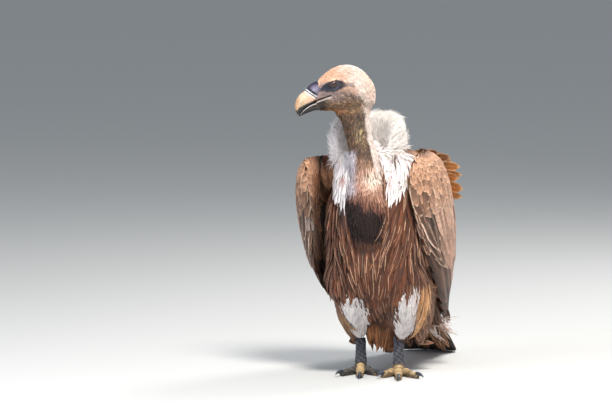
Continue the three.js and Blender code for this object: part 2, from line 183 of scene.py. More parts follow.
def relaxed(values, faces, times, amount=0.5, weight=None):  # evens out a value held at each point
    a, b = edgePairs(faces).T
    count = len(values)
    near = np.bincount(a, minlength=count) + np.bincount(b, minlength=count)
    flat = values.reshape(count, -1).astype(float)
    for _ in range(times):
        total = np.empty_like(flat)
        for axis in range(flat.shape[1]):
            column = flat[:, axis]
            total[:, axis] = np.bincount(a, column[b], count) + np.bincount(b, column[a], count)
        move = (total / near[:, None] - flat) * amount
        flat = flat + (move if weight is None else move * weight[:, None])
    return flat.reshape(values.shape)


def pointNormals(points, faces):
    cross = np.cross(points[faces[:, 1]] - points[faces[:, 0]], points[faces[:, 2]] - points[faces[:, 0]])
    total = np.empty_like(points)
    for axis in range(3):
        total[:, axis] = np.bincount(faces.ravel(), np.repeat(cross[:, axis], 3), len(points))
    return unit(total)


def loftFaces(rings, sides, closed=True):  # rings of points into triangles, with fans over both ends
    i, r = np.meshgrid(np.arange(sides), np.arange(rings - 1))
    low, high = r * sides + i, (r + 1) * sides + i
    lowNext, highNext = r * sides + (i + 1) % sides, (r + 1) * sides + (i + 1) % sides
    faces = [
        np.stack([low, lowNext, highNext], -1).reshape(-1, 3),
        np.stack([low, highNext, high], -1).reshape(-1, 3),
    ]
    if closed:
        i, last = np.arange(sides), (rings - 1) * sides
        first = rings * sides
        faces.append(np.stack([np.full(sides, first), (i + 1) % sides, i], -1))
        faces.append(np.stack([np.full(sides, first + 1), last + i, last + (i + 1) % sides], -1))
    return np.vstack(faces)


def facingOut(points, faces):
    a, b, c = (points[faces[:, i]] for i in range(3))
    return faces if np.einsum("ij,ij->i", a, np.cross(b, c)).sum() > 0 else faces[:, ::-1]


def loft(rings):  # rings: array of (rows, sides, 3)
    rings = np.asarray(rings, float)
    points = np.vstack([rings.reshape(-1, 3), rings[0].mean(0), rings[-1].mean(0)])
    return points, facingOut(points, loftFaces(rings.shape[0], rings.shape[1]))


def bend(value, power):
    return np.sign(value) * np.abs(value) ** (2 / power)


def tubeRings(rows, count, sides, power=2.0, across=(1, 0, 0)):  # rows: x, y, z, half width, half height
    made = resample(rows, count)
    centres = made[:, :3]
    tangent = unit(np.gradient(centres, axis=0))
    up = unit(np.cross(tangent, np.asarray(across, float)))
    side = unit(np.cross(up, tangent))
    angle = np.arange(sides) * 2 * math.pi / sides
    wide, tall = np.maximum(made[:, 3], 0.3), np.maximum(made[:, 4], 0.3)
    return (
        centres[:, None]
        + side[:, None] * (wide[:, None] * bend(np.cos(angle), power))[..., None]
        + up[:, None] * (tall[:, None] * bend(np.sin(angle), power))[..., None]
    )


def barrelRings(rows, count, sides, power):  # rows: y, top z, bottom z, half width
    made = resample(rows, count)
    angle = np.arange(sides) * 2 * math.pi / sides
    wide = np.maximum(made[:, 3], 0.4)[:, None] * bend(np.cos(angle), power)
    tall = np.maximum((made[:, 1] - made[:, 2]) / 2, 0.4)[:, None] * bend(np.sin(angle), power)
    middle = (made[:, 1] + made[:, 2]) / 2
    return np.stack([wide, np.broadcast_to(made[:, :1], wide.shape), middle[:, None] + tall], -1)


# ---- the skin's body: the CAD flesh joined, rounded and drawn in by the depth of its coat -------
skinSizes = {
    "bodyVoxel": 5.2,
    "headVoxel": 1.75,
    "footVoxel": 1.7,
    "contourDepth": 9.0,  # feathers of the trunk
    "downDepth": 5.0,  # thighs and crop
    "ruffDepth": 8.0,
    "neckDepth": 2.4,
}
bodyNodes = ["crop", "trunk", "rump", "vent", "ruff", "neck_lower"]
bodyNodes += [f"{part}_{side}" for part in ("thigh", "trousers", "upper_arm") for side in ("left", "right")]
wingNodes = [f"wing_{part}_{side}" for part in ("coverts", "secondaries", "primaries") for side in ("left", "right")]
footNodes = [f"shank_{side}" for side in ("left", "right")]
footNodes += [f"toe_{toe}_{side}" for toe in ("middle", "inner", "outer", "hallux") for side in ("left", "right")]


def nodeMesh(name):
    return welded(*readMesh(nodes[name]))


def treeOf(points, faces):
    return BVHTree.FromPolygons(points.tolist(), faces.tolist())


def nearestFaces(tree, points):
    return np.array([tree.find_nearest(Vector(p))[2] for p in points.tolist()])


def thicknessInside(tree, points, normals, most=80.0):
    found = []
    for p, n in zip((points - normals * 0.4).tolist(), (-normals).tolist()):
        hit = tree.ray_cast(Vector(p), Vector(n), most)
        found.append(most if hit[0] is None else hit[3])
    return np.array(found)


headRows = [
    [50.5, -2, -14, 3],
    [48, 12, -24, 17],
    [41, 25, -32, 26],
    [28, 40, -37, 33],
    [14, 50, -38, 36.2],
    [0, 54.5, -38, 37.4],
    [-14, 55.5, -39, 37],
    [-28, 52, -38.5, 34.6],
    [-42, 44, -37.5, 29],
    [-56, 33, -37.5, 22.5],
    [-66, 23, -37, 18.4],
    [-70, 15, -33, 12],
]
neckRows = [
    [-27, -64, 552, 22, 24],
    [-27, -66, 531, 25.5, 28.5],
    [-26, -70, 507, 25.5, 27.5],
    [-22, -75, 480, 25.5, 27],
    [-14, -79, 452, 27.5, 28],
    [-6, -80, 424, 31, 31],
    [-3, -74, 396, 34, 33],
]

# wings: [lead x, y, z, trail x, y, z, bulge, thickness] from the wrist down to the tip
wingRows = [
    [94, -52, 446, 72, 46, 450, 10, 16],
    [88, -74, 420, 68, 74, 436, 30, 34],
    [86, -76, 376, 62, 106, 402, 44, 40],
    [90, -62, 324, 56, 138, 356, 50, 38],
    [97, -36, 270, 50, 174, 308, 49, 33],
    [105, 4, 214, 44, 212, 254, 41, 27],
    [104, 68, 158, 38, 250, 200, 28, 21],
    [88, 165, 106, 34, 294, 144, 15, 15],
    [64, 288, 58, 32, 356, 84, 7, 10],
    [47, 396, 20, 35, 424, 30, 1, 6],
]
wingHang = {
    1: {"lift": 0, "top": 0, "middle": 0, "tip": 0},
    -1: {"lift": -14, "top": 46, "middle": 31, "tip": 2},
}
trailShare = 0.35




def slabSection(rows, count, section, outward, leadPower, trailPower, drawIn=0.0):
    """section runs from -1 at the trailing edge of the inner face over 0 at the lead to 1."""
    made = resample(rows, count)
    lead, trail = made[:, None, :3], made[:, None, 3:6]
    bulge, thick = made[:, 6, None, None], made[:, 7, None]
    along = unit(np.gradient((made[:, :3] + made[:, 3:6]) / 2, axis=0))[:, None]
    u = np.abs(section)[None, :, None]
    peakAt = leadPower / (leadPower + trailPower)
    peak = peakAt**leadPower * (1 - peakAt) ** trailPower
    slope = trail - lead + outward * bulge * 4 * (1 - 2 * u)
    normal = unit(np.cross(slope, np.broadcast_to(along, slope.shape)))
    normal = np.where((normal @ outward)[..., None] < 0, -normal, normal)
    half = thick / 2 * u[..., 0] ** leadPower * (1 - u[..., 0]) ** trailPower / peak
    half = half - np.minimum(drawIn, half * 0.5)
    sign = np.where(np.asarray(section) < 0, -1.0, 1.0)[None, :]
    return lead + (trail - lead) * u + outward * bulge * 4 * u * (1 - u) + normal * (half * sign)[..., None]


def hungWing(sign):  # the wing's rows on one side, hanging as far out as that wing does
    hang = wingHang[sign]
    rows = []
    for i, (leadX, leadY, leadZ, trailX, trailY, trailZ, bulge, thick) in enumerate(wingRows):
        along = i / (len(wingRows) - 1)
        low, high, f = ("top", "middle", along * 2) if along < 0.5 else ("middle", "tip", along * 2 - 1)
        spread = hang[low] + (hang[high] - hang[low]) * f
        drop = hang["lift"] * (1 - along)
        rows.append([sign * (leadX + spread), leadY, leadZ + drop,
                     sign * (trailX + spread * trailShare), trailY, trailZ + drop, bulge, thick])
    return rows


def wingGrid(sign, count, section, drawIn=0.0):
    return slabSection(hungWing(sign), count, section, unit([sign, 0, 0.12]), 0.35, 0.55, drawIn)


tailRows = [
    [half, y, z, -half, y, z, bulge, thick]
    for half, y, z, bulge, thick in [
        [34, 170, 168, 6, 26],
        [42, 225, 124, 6, 20],
        [48, 280, 82, 5, 15],
        [52, 335, 45, 4, 11],
        [54, 380, 18, 3, 8],
        [50, 412, 5, 1.2, 6.5],
        [36, 432, 1.9, 0.3, 5.5],
    ]
]

bodyParts = [nodeMesh(name) for name in bodyNodes]
bodyRaw, bodyRawFaces = joined(bodyParts)
bodyLabel = np.concatenate([np.full(len(f), i) for i, (_, f) in enumerate(bodyParts)])
cadTree = treeOf(bodyRaw, bodyRawFaces)
coatDepths = {"ruff": "ruffDepth", "neck_lower": "neckDepth", "crop": "downDepth", "thigh": "downDepth"}


def depthOf(name):
    for start, key in coatDepths.items():
        if name.startswith(start):
            return skinSizes[key]
    return skinSizes["contourDepth"]


body, bodyFaces = remeshed(bodyRaw, bodyRawFaces, skinSizes["bodyVoxel"])
body = relaxed(body, bodyFaces, 6)
bodyNormals = pointNormals(body, bodyFaces)
wanted = np.array([depthOf(name) for name in bodyNodes])[bodyLabel[nearestFaces(cadTree, body)]]
room = thicknessInside(treeOf(body, bodyFaces), body, bodyNormals)
depth = relaxed(np.minimum(wanted, room * 0.38), bodyFaces, 10)
body = relaxed(body - relaxed(bodyNormals, bodyFaces, 4) * depth[:, None], bodyFaces, 3)

around = np.linspace(0, 1, 15) ** 1.3 * 0.9
loop = np.concatenate([around[::-1], -around[1:]])
cores = []
for sign in (1, -1):
    rings = wingGrid(sign, 60, loop, drawIn=5.0)[1:50]
    cores.append(loft(rings))
tailLoop = np.concatenate([np.linspace(0.96, 0.04, 12), -np.linspace(0.04, 0.96, 12)])
tailCore = slabSection(tailRows, 40, tailLoop, np.array([0, 0, 1.0]), 0.4, 0.4, 4.0)[:32]
cores.append(loft(tailCore))
body, bodyFaces = remeshed(*joined([(body, bodyFaces), *cores]), skinSizes["bodyVoxel"])
body = relaxed(body, bodyFaces, 3)
print("body drawn in under its coat:", len(bodyFaces), "triangles")

# ---- the head and neck, finer, with lids, brow, folds and the gape -------------------------------
headSizes = {
    "faceDepth": 0.9,  # how far the skin lies under the head's own down, at the bill
    "crownDepth": 2.0,  # and over the crown and nape
    "lidThickness": 0.9,
    "openingAlong": 43.0,  # half angle of the eye's opening, in degrees
    "openingTall": 31.0,
}
eyeAxis = unit([0.975, -0.16, 0.13])
browLine = np.array([[17, -64, 15], [26.5, -48.5, 24.5], [31.5, -31, 29.5], [33.5, -13, 25.5], [34, 0, 17]])
loreLine = np.array([[19, -62, 7], [25, -50, 9.5], [29, -43, 11]])
mouthCurve = np.array([[26, -37, -4.2], [25, -42, -5.8], [20, -63.4, -14.1], [12, -81, -25.3], [5, -97, -36.3], [2, -99, -45]])


def lineDistance(points, line):  # distance to a polyline, and how far along it, 0 to 1
    best, along = np.full(len(points), 1e9), np.zeros(len(points))
    steps = len(line) - 1
    for i in range(steps):
        a, d = line[i], line[i + 1] - line[i]
        t = np.clip((points - a) @ d / (d @ d), 0, 1)
        far = np.linalg.norm(points - a - t[:, None] * d, axis=1)
        nearer = far < best
        best[nearer], along[nearer] = far[nearer], (i + t[nearer]) / steps
    return best, along


def bump(distance, radius):  # 1 on the line, 0 from the radius on
    return np.clip(1 - (distance / radius) ** 2, 0, 1) ** 2


def mirrored(points, sign):
    return points * np.array([sign, 1, 1])


headMesh = loft(barrelRings(headRows, 60, 64, 2.15))
neckMesh = loft(tubeRings(neckRows, 60, 60))
neckMesh = (toHead(neckMesh[0]), neckMesh[1])
throatRows = [[0, -6, -26, 22, 22], [0, -7, -33, 24, 25], [0, -3, -42, 24, 22.5], [1, 2, -51, 24, 21.5],
              [2, 6, -64, 24.5, 22.5], [4, 11, -84, 24, 22.5]]
throatMesh = loft(tubeRings(throatRows, 30, 48))
head, headFaces = joined([headMesh, neckMesh, throatMesh])
head, headFaces = remeshed(fromHead(head), headFaces, skinSizes["headVoxel"])
head = toHead(relaxed(head, headFaces, 14))


def splitNear(points, faces, near):  # cuts the triangles that touch these points into smaller ones
    touched = near[faces].any(1)
    pairs = np.sort(np.stack([faces[touched][:, [0, 1]], faces[touched][:, [1, 2]], faces[touched][:, [2, 0]]], 1), -1)
    ends, back = np.unique(pairs.reshape(-1, 2), axis=0, return_inverse=True)
    middle = dict(zip(map(tuple, ends.tolist()), range(len(points), len(points) + len(ends))))
    points = np.vstack([points, points[ends].mean(1)])
    inner = back.reshape(-1, 3) + len(points) - len(ends)
    a, b, c = faces[touched].T
    ab, bc, ca = inner.T
    made = [np.stack(t, -1) for t in ((a, ab, ca), (ab, b, bc), (ca, bc, c), (ab, bc, ca))]
    rest = []
    for face in faces[~touched].tolist():  # neighbours take the new points on their edges
        ring = []
        for i in range(3):
            ring.append(face[i])
            key = (min(face[i], face[(i + 1) % 3]), max(face[i], face[(i + 1) % 3]))
            if key in middle:
                ring.append(middle[key])
        if len(ring) == 3:
            rest.append(face)
            continue
        start = next((i for i in range(len(ring)) if ring[i] in face and ring[i - 1] not in face), 0)
        ring = ring[start:] + ring[:start]
        hub = ring[-1] if ring[-1] not in face else ring[0]
        turn = ring.index(hub)
        ring = ring[turn:] + ring[:turn]
        rest += [[ring[0], ring[i], ring[i + 1]] for i in range(1, len(ring) - 1)]
    return points, np.vstack([*made, np.array(rest, np.int32)])


def eyeDistance(points, sign):
    return np.linalg.norm(mirrored(points, sign) - eyeSeat, axis=1)


for radius in (20.0, 14.0):
    near = np.minimum(eyeDistance(head, 1), eyeDistance(head, -1)) < radius
    head, headFaces = splitNear(head, headFaces, near)
nearMouth = np.minimum(*(lineDistance(mirrored(head, s), mouthCurve[:4])[0] for s in (1, -1))) < 4
head, headFaces = splitNear(head, headFaces, nearMouth)
head = relaxed(head, headFaces, 2)


def sculptHead(points, normals):
    depth = headSizes["faceDepth"] + (headSizes["crownDepth"] - headSizes["faceDepth"]) * ease(-50, -15, points[:, 1])
    moved = points - normals * depth[:, None]
    moved = moved + normals * (0.5 * lumps(points, 26, 4) * ease(-60, -20, points[:, 1]))[:, None]
    for sign in (1, -1):
        at = mirrored(points, sign)
        side = at[:, 0] > 2

        def push(line, radius, amount, direction=None):
            strength = amount * bump(lineDistance(at, np.atleast_2d(line))[0], radius) * side
            way = normals if direction is None else mirrored(unit([direction]), sign)
            return way * strength[:, None]

        moved = moved + push(browLine + [1.5, 0, 0.5], 7.5, 3.0, (0.9, -0.1, 0.3))
        moved = moved + push(loreLine, 8.0, -2.2)
        moved = moved + push([eyeSeat + [7, -4, -4], eyeSeat + [7, 6, -2]], 19.0, 1.6)
        moved = moved + push([eyeSeat + [8, -9, -10], eyeSeat + [9, 2, -12], eyeSeat + [8, 13, -8]], 3.2, -1.1)
        moved = moved + push([[33, -18, -16], [31, -30, -20]], 16.0, 2.0)
        moved = moved + push([[35, 2, 18], [34, 12, 12]], 13.0, -1.3)
        moved = moved + push([[33.5, 3, -8], [33.5, 5, -10]], 4.5, -2.4)
        moved = moved + push(mouthCurve[:4], 2.3, -2.6)
        moved = moved + push(mouthCurve[:4] + [0.5, -0.6, -3.4], 2.4, 0.9)
        moved = moved + push(mouthCurve[:4] + [0.2, 0.6, 3.2], 2.4, 0.6)
        moved = moved + push([[29, -33, -6], [31, -29, -12]], 5.0, -1.0)
    return moved


def lidded(points, sign):  # wraps the skin round the eyeball and leaves its opening
    at = mirrored(points, sign) - eyeSeat
    far = np.linalg.norm(at, axis=1)
    way = at / far[:, None]
    ahead = way @ eyeAxis
    level = unit(np.cross(eyeAxis, [0, 0, 1.0]))
    level = unit(level + 0.16 * np.array([0, 0, -1.0]))
    over = unit(np.cross(level, eyeAxis))
    angle = np.degrees(np.arccos(np.clip(ahead, -1, 1)))
    spin = np.arctan2(way @ over, way @ level)
    limit = 1 / np.sqrt((np.cos(spin) / headSizes["openingAlong"]) ** 2 + (np.sin(spin) / headSizes["openingTall"]) ** 2)
    share = angle / limit
    close = (far < 24) & (ahead > 0.1)
    rim = eyeRadius + headSizes["lidThickness"]
    fold = rim + 0.2 * np.sin(np.clip((share - 1.0) / 0.5, 0, 1) * math.pi) - 0.3 * bump(share - 1.62, 0.16)
    kept = np.clip((share - 1.05) / mix(1.15, 0.55, ease(0.1, 0.7, np.sin(spin))), 0, 1)
    kept = kept * kept * (3 - 2 * kept)
    outside = np.where(far < rim, fold, fold * (1 - kept) + np.maximum(far, rim - 0.5) * kept)
    edge = np.clip((1.06 - share) / 0.16, 0, 1)
    reachOut = np.where(share < 1.06, (rim - 0.2) * (1 - edge) + (eyeRadius - 2.4) * edge, outside)
    snap = np.where((share < 1.06) & (share > 0.82), 0.99 / np.maximum(share, 0.1), 1.0)
    newAngle = np.radians(angle * snap)
    flat = unit(way - ahead[:, None] * eyeAxis)
    turned = flat * np.sin(newAngle)[:, None] + eyeAxis * np.cos(newAngle)[:, None]
    made = turned * reachOut[:, None] + eyeSeat
    return np.where(close[:, None], mirrored(made, sign), points)


head = sculptHead(head, pointNormals(head, headFaces))
for sign in (1, -1):
    head = lidded(head, sign)
headPoints = fromHead(head)
print("head and neck:", len(headFaces), "triangles")

# ---- bare shanks and toes ------------------------------------------------------------------------
feet, feetFaces = remeshed(*joined([nodeMesh(name) for name in footNodes]), skinSizes["footVoxel"])
feet = relaxed(feet, feetFaces, 5, weight=ease(2.5, 6.0, feet[:, 2]))


def unioned(parts):  # closed shells that overlap, into one closed skin
    shells = [makeMesh(f"shell{i}", p, f) for i, (p, f) in enumerate(parts)]
    for other in shells[1:]:
        step = shells[0].modifiers.new("join", "BOOLEAN")
        step.operation = "UNION"
        step.solver = "MANIFOLD"
        step.object = other
    made = finishedByModifiers(shells[0])
    for shell in shells:
        bpy.data.objects.remove(shell)
    return made


skinPoints, skinFaces = unioned([(body, bodyFaces), (headPoints, headFaces), (feet, feetFaces)])
skinNormals = pointNormals(skinPoints, skinFaces)
skinTree = treeOf(skinPoints, skinFaces)
print("one skin:", len(skinFaces), "triangles")


fleshNodes = [*bodyNodes, "head", "neck_upper", *footNodes, *wingNodes, "tail"]
fleshParts = [nodeMesh(name) for name in fleshNodes]
fleshTree = treeOf(*joined(fleshParts))
fleshLabel = np.concatenate([np.full(len(f), i) for i, (_, f) in enumerate(fleshParts)])
faceCentres = skinPoints[skinFaces].mean(1)


def nodeNames(points):  # the CAD node each point lies in
    return np.array(fleshNodes)[fleshLabel[nearestFaces(fleshTree, points)]]


faceNames = nodeNames(faceCentres)
pointNames = nodeNames(skinPoints)

# ---- bill, cere and eyes --------------------------------------------------------------------------------
billSizes = {"cereThickness": 1.5, "stripe": 1.5, "nostrilDepth": 2.6, "pupil": 17.0, "iris": 42.0, "cornea": 0.7}
upperBillRows = [
    [0, -58, 7, 16, 15],
    [0, -66, 3, 17, 16.5],
    [0, -80, -9, 15.5, 15.6],
    [0, -91, -17, 14, 15.2],
    [0, -98, -26, 11.5, 12.2],
    [0, -101.2, -35, 8.2, 8.4],
    [0, -101.2, -41.5, 4.9, 4.9],
    [0, -99.4, -47.6, 1.3, 1.3],
]
lowerBillRows = [
    [0, -50, -21, 15, 11.5],
    [0, -59, -24.5, 14.6, 10.8],
    [0, -73, -27.8, 12.8, 9.2],
    [0, -84.5, -33.6, 10.2, 7.2],
    [0, -93.5, -40.0, 7.0, 4.6],
    [0, -98.0, -45.2, 3.2, 2.0],
]
cereEdge = np.array([[0, -88.1, 3.4], [0, -68.8, -9.1]])
cereNormal = np.array([0, -0.543, -0.839])
nostrilLine = np.array([[0, -81.0, 5.2], [0, -70.5, -2.6]])


def upperBill(count, sides):  # keeled along the top, with a lip along each cutting edge and a hollow palate
    rings = tubeRings(upperBillRows, count, sides, 2.15)
    made = resample(upperBillRows, count)
    angle = np.arange(sides) * 2 * math.pi / sides
    centre = made[:, None, :3]
    offset = rings - centre
    tangent = unit(np.gradient(made[:, :3], axis=0))
    up = unit(np.cross(tangent, [1, 0, 0]))[:, None]
    height = (offset * up).sum(-1, keepdims=True)
    keel = 1 - 0.14 * np.clip(np.sin(angle), 0, 1)[None, :, None] ** 2
    below = np.clip(-np.sin(angle), 0, 1)[None, :, None]
    inner = ease(0.62, 0.2, np.abs(np.cos(angle)))[None, :, None]
    offset = offset * np.array([1, 0, 0]) * keel + up * height * (1 - 0.25 * below * inner)
    return centre + offset


def ringNormals(rings):
    across = np.roll(rings, -1, 1) - np.roll(rings, 1, 1)
    normal = unit(np.cross(np.gradient(rings, axis=0), across))
    outside = ((rings - rings.mean(1, keepdims=True)) * normal).sum(-1).mean()
    return normal if outside > 0 else -normal


hornRings = upperBill(72, 96)
hornNormals = ringNormals(hornRings)
past = (hornRings - cereEdge[0]) @ cereNormal  # over 0 in front of the cere's edge
horn, hornFaces = loft(hornRings[8:])
hornNormal = pointNormals(horn, hornFaces)
ridges = np.sin(horn @ cereNormal * 1.9) * 0.05 + 0.12 * lumps(horn, 12, 61)
horn = horn + hornNormal * ridges[:, None]

rows, sides = 46, hornRings.shape[1]
edgeRow = np.array([np.interp(0, past[:, i], np.arange(len(past))) for i in range(sides)])
share = np.linspace(0, 1, rows) ** 0.85
place = share[:, None] * edgeRow[None]
low = np.floor(place).astype(int)
part = (place - low)[..., None]
column = np.broadcast_to(np.arange(sides), place.shape)
pick = lambda grid: grid[low, column] * (1 - part) + grid[np.minimum(low + 1, len(grid) - 1), column] * part
proud = billSizes["cereThickness"] * np.sqrt(np.clip(1 - np.clip((share - 0.88) / 0.12, 0, 1) ** 2, 0, 1)) - 0.5 * (share > 0.99)
cereRings = pick(hornRings) + pick(hornNormals) * proud[:, None, None]
cereRings[-1] = pick(hornRings)[-1] - pick(hornNormals)[-1] * 1.2
cere, cereFaces = loft(cereRings)
cereShare = np.append(np.repeat(share, sides), [0, 1])
cereNormals = pointNormals(cere, cereFaces)
slit = lineDistance(cere * [0, 1, 1], nostrilLine)[0] + 9 * (np.abs(cere[:, 0]) < 4)
swell = lineDistance(cere * [0, 1, 1], nostrilLine + [0, 2.6, 2.0])[0] + 9 * (np.abs(cere[:, 0]) < 4)
cere = cere + cereNormals * (0.9 * bump(swell, 4.5) - billSizes["nostrilDepth"] * bump(slit, 2.8))[:, None]
cere = cere + cereNormals * (0.25 * lumps(cere, 9, 62))[:, None]

lowerRings = tubeRings(lowerBillRows, 48, 64, 2.3)
lower, lowerFaces = loft(lowerRings)
lowerAngle = np.append(np.tile(np.degrees(np.arange(64) * 2 * math.pi / 64), 48), [270, 90])


def eyeBall(sign):
    turn, tilt = np.meshgrid(np.linspace(0, 2 * math.pi, 56, endpoint=False), np.linspace(0, math.pi, 40)[1:-1])
    side = unit(np.cross(eyeAxis, [0, 0, 1]))
    over = np.cross(side, eyeAxis)
    way = (eyeAxis * np.cos(tilt)[..., None] + (side * np.cos(turn)[..., None] + over * np.sin(turn)[..., None])
           * np.sin(tilt)[..., None])
    degrees = np.degrees(tilt)
    far = eyeRadius + billSizes["cornea"] * np.clip(1 - (degrees / billSizes["iris"]) ** 2, 0, 1)
    points, faces = loft(way * far[..., None])
    points[-2], points[-1] = eyeAxis * (eyeRadius + billSizes["cornea"]), -eyeAxis * eyeRadius
    degrees = np.append(degrees.ravel(), [0, 180])
    points = mirrored(points + eyeSeat, sign)
    return points, facingOut(points - points.mean(0), faces), degrees


# ---- colours by place, shared by the skin and its coat ---------------------------------------------
tones = {
    name: linear(code)
    for name, code in {
        "crown": "#e2b597",
        "pale": "#ead8cd",
        "nape": "#e6cfc2",
        "cheek": "#84726f",
        "throat": "#8a6a4a",
        "chin": "#a5693c",
        "slate": "#161a2a",
        "ear": "#77604f",
        "neck": "#73543b",
        "neckDark": "#382c2a",
        "neckPale": "#e8d9d2",
        "white": "#f3eeea",
        "lilac": "#ddd3dc",
        "cream": "#e9dfd3",
        "skinPink": "#b06058",
        "brown": "#7a4224",
        "deep": "#2c1a13",
        "brownDark": "#4f2815",
        "rufous": "#9a5a2c",
        "streak": "#cf9d78",
        "buff": "#d2ab90",
        "peachHighlight": "#f0dccb",
        "cropTop": "#b88c78",
        "cropLow": "#241513",
    }.items()
}


viewTurn, viewTilt = math.radians(16), math.radians(5)
acrossWay = np.array([math.cos(viewTurn), math.sin(viewTurn), 0])
upWay = np.array([-math.sin(viewTurn) * math.sin(viewTilt), math.cos(viewTurn) * math.sin(viewTilt), math.cos(viewTilt)])


def frontPlace(points):  # how far across and how high a point stands, seen from the front
    return points @ acrossWay, points @ upWay


def headTint(points):  # points in the head's own frame
    x, y, z = points.T
    at = np.stack([np.abs(x), y, z], -1)
    grain = lumps(points, 9, 31)
    slow = lumps(points, 40, 32)
    colour = mix(tones["crown"], tones["pale"], ease(-40, 8, y + 10 * slow + 0.35 * (z - 40)))
    colour = mix(colour, tones["nape"], ease(10, 40, y))
    low = ease(16, -4, z + 5 * slow + 0.25 * (y + 20))
    colour = mix(colour, mix(tones["cheek"], tones["ear"], ease(-25, 5, y)), low * ease(34, 18, y) * 0.9)
    colour = mix(colour, tones["throat"], ease(-6, -24, z + 4 * grain) * ease(30, 12, y) * 0.9)
    colour = mix(colour, tones["chin"], ease(-29, -36, z) * ease(0, -20, y) * 0.7)
    topEdge = np.interp(y, [-62, -58, -48, -31.5, -18.3, -10, -4], [7, 12.2, 20.3, 26.2, 25.2, 19.5, 13])
    lowEdge = np.interp(y, [-60, -48, -31.5, -18.3, -10, -4], [4, 3.2, 3.4, 9.5, 13.5, 15])
    dark = ease(-1.0, 1.0, topEdge - z + 0.8 * grain) * ease(-2.6, 1.8, z - lowEdge + 2.2 * grain) * ease(12, 15, at[:, 0])
    blue = np.clip(0.3 + 0.5 * lumps(points, 5, 33) + 0.3 * ease(-42, -58, y), 0, 1)
    lid = np.minimum(eyeDistance(points, 1), eyeDistance(points, -1))
    colour = mix(colour, mix(tones["slate"] * 0.8, linear("#262c44"), blue * ease(12, 15, lid)), dark * ease(-5, -17, y + 3 * grain) * 0.97)
    under = bump(np.abs(lid - 12.6) / 1.2, 1.0) * ease(15.0, 11.0, z) * ease(-45, -38, y) * ease(-20, -27, y)
    colour = mix(colour, linear("#5c6484"), under * 0.45)
    behind, _ = lineDistance(at, np.array([[34, -14, 17], [35, -4, 19], [35, 4, 16]]))
    colour = mix(colour, tones["cheek"] * 0.5, bump(behind, 7) * 0.6)
    fleshy = bump(np.linalg.norm((at - [33, 7, 6]) * [0.6, 1, 0.9], axis=1), 11) * np.clip(0.55 + 0.9 * lumps(points, 4, 35), 0, 1)
    colour = mix(colour, linear("#c07a58"), fleshy)
    # painted shade: slate in the hollow of the ear opening
    ear, _ = lineDistance(at, np.array([[34, 3, -8], [34, 5, -11]]))
    colour = mix(colour, tones["slate"], bump(ear, 6) * 0.6)
    flat, curve = at * [0, 1, 1], mouthCurve * [0, 1, 1]
    ahead = ease(-35, -39, y) * (at[:, 0] > 6)
    jaw = ease(-3, -5, z - np.interp(y, curve[::-1, 1], curve[::-1, 2])) * (at[:, 0] > 6)
    colour = mix(colour, linear("#33271f"), jaw * ease(-36, -56, y + 5 * grain))
    colour = mix(colour, linear("#dcd2c8"), bump(lineDistance(flat, curve + [0, 0.4, -3.6])[0], 1.2) * ahead)
    # painted shade: near-black along the mouth crease
    colour = mix(colour, tones["slate"] * 0.2, bump(lineDistance(flat, curve)[0], 2.9) * ahead)
    rough = ease(20, 6, z) * 0.8 + 0.2
    return colour * (1 + rough * (0.18 * grain + 0.14 * lumps(points, 4.5, 34)) + 0.04 * slow)[:, None]


def neckTint(points):  # points in the bird's frame
    axis = resample(neckRows, 40)
    centre = np.stack([np.interp(points[:, 2], axis[::-1, 2], axis[::-1, i]) for i in (0, 1)], -1)
    out = unit(points[:, :2] - centre)
    turn = np.degrees(np.arctan2(out[:, 0], -out[:, 1]))  # 0 in front, 90 on the bird's left
    grain, slow = lumps(points * [1, 1, 0.5], 7, 41), lumps(points, 30, 42)
    mottle = lumps(points * [1, 1, 0.6], 4.2, 43)
    colour = mix(tones["neck"], tones["neckDark"] * 0.8, np.clip(0.4 + 0.3 * grain + 0.55 * mottle, 0, 1))
    grey = bump((turn - 24 - 0.1 * (points[:, 2] - 520)) / 17, 1.0) * ease(480, 500, points[:, 2] + 10 * grain)
    colour = mix(colour, tones["neckDark"] * 0.55, grey * (0.6 + 0.35 * grain))
    fleck = bump((turn - 24) / 34, 1.0) * bump((points[:, 2] - 486) / 36, 1.0) * ease(0.0, 0.45, grain)
    colour = mix(colour, linear("#d8c08a"), fleck * 0.8)
    side = ease(46, 60, turn + 5 * slow) + ease(-78, -96, turn)
    colour = mix(colour, tones["neckPale"], np.clip(side, 0, 1))
    across, up = frontPlace(points)
    colour = mix(colour, linear("#b08870"), ease(450, 425, points[:, 2] + 8 * slow) * 0.6)
    colour = mix(colour, tones["lilac"], ease(-44, -54, across + 3 * grain) * ease(452, 436, up) * 0.9)
    colour = mix(colour, tones["neckPale"], bump((across - np.interp(up, [405, 470], [-6, -15])) / 9, 1.0) * ease(475, 455, up))
    return colour * (1 + 0.14 * grain)[:, None]


def bandShare(points, rows, soft=5.0):  # rows: height, centre and half width of a band that runs down the bird
    across, up = frontPlace(points)
    rows = np.array(rows, float)[::-1]
    centre, half = (np.interp(up, rows[:, 0], rows[:, i]) for i in (1, 2))
    inside = ease(half + soft, half - soft, np.abs(across - centre))
    return inside * ease(rows[0, 0] - 12, rows[0, 0] + 8, up) * ease(rows[-1, 0] + 12, rows[-1, 0] - 8, up)


whiteBands = [
    [[450, -76, 24], [425, -73, 18], [403, -82, 22], [380, -78, 15], [352, -73, 9]],
    [[450, 20, 34], [425, 30, 31], [403, 34, 23], [380, 29, 18], [355, 26, 10]],
]
thighBands = [
    [[164, -66, 9], [150, -57, 21], [132, -50, 28], [110, -49, 27], [66, -44, 24]],
    [[180, 72, 8], [164, 62, 18], [144, 56, 25], [110, 54, 26], [70, 50, 24]],
]


def shaken(points, amount, seed):
    return points + amount * np.stack([lumps(points, 22, seed), lumps(points, 24, seed + 1), lumps(points, 26, seed + 2)], -1)


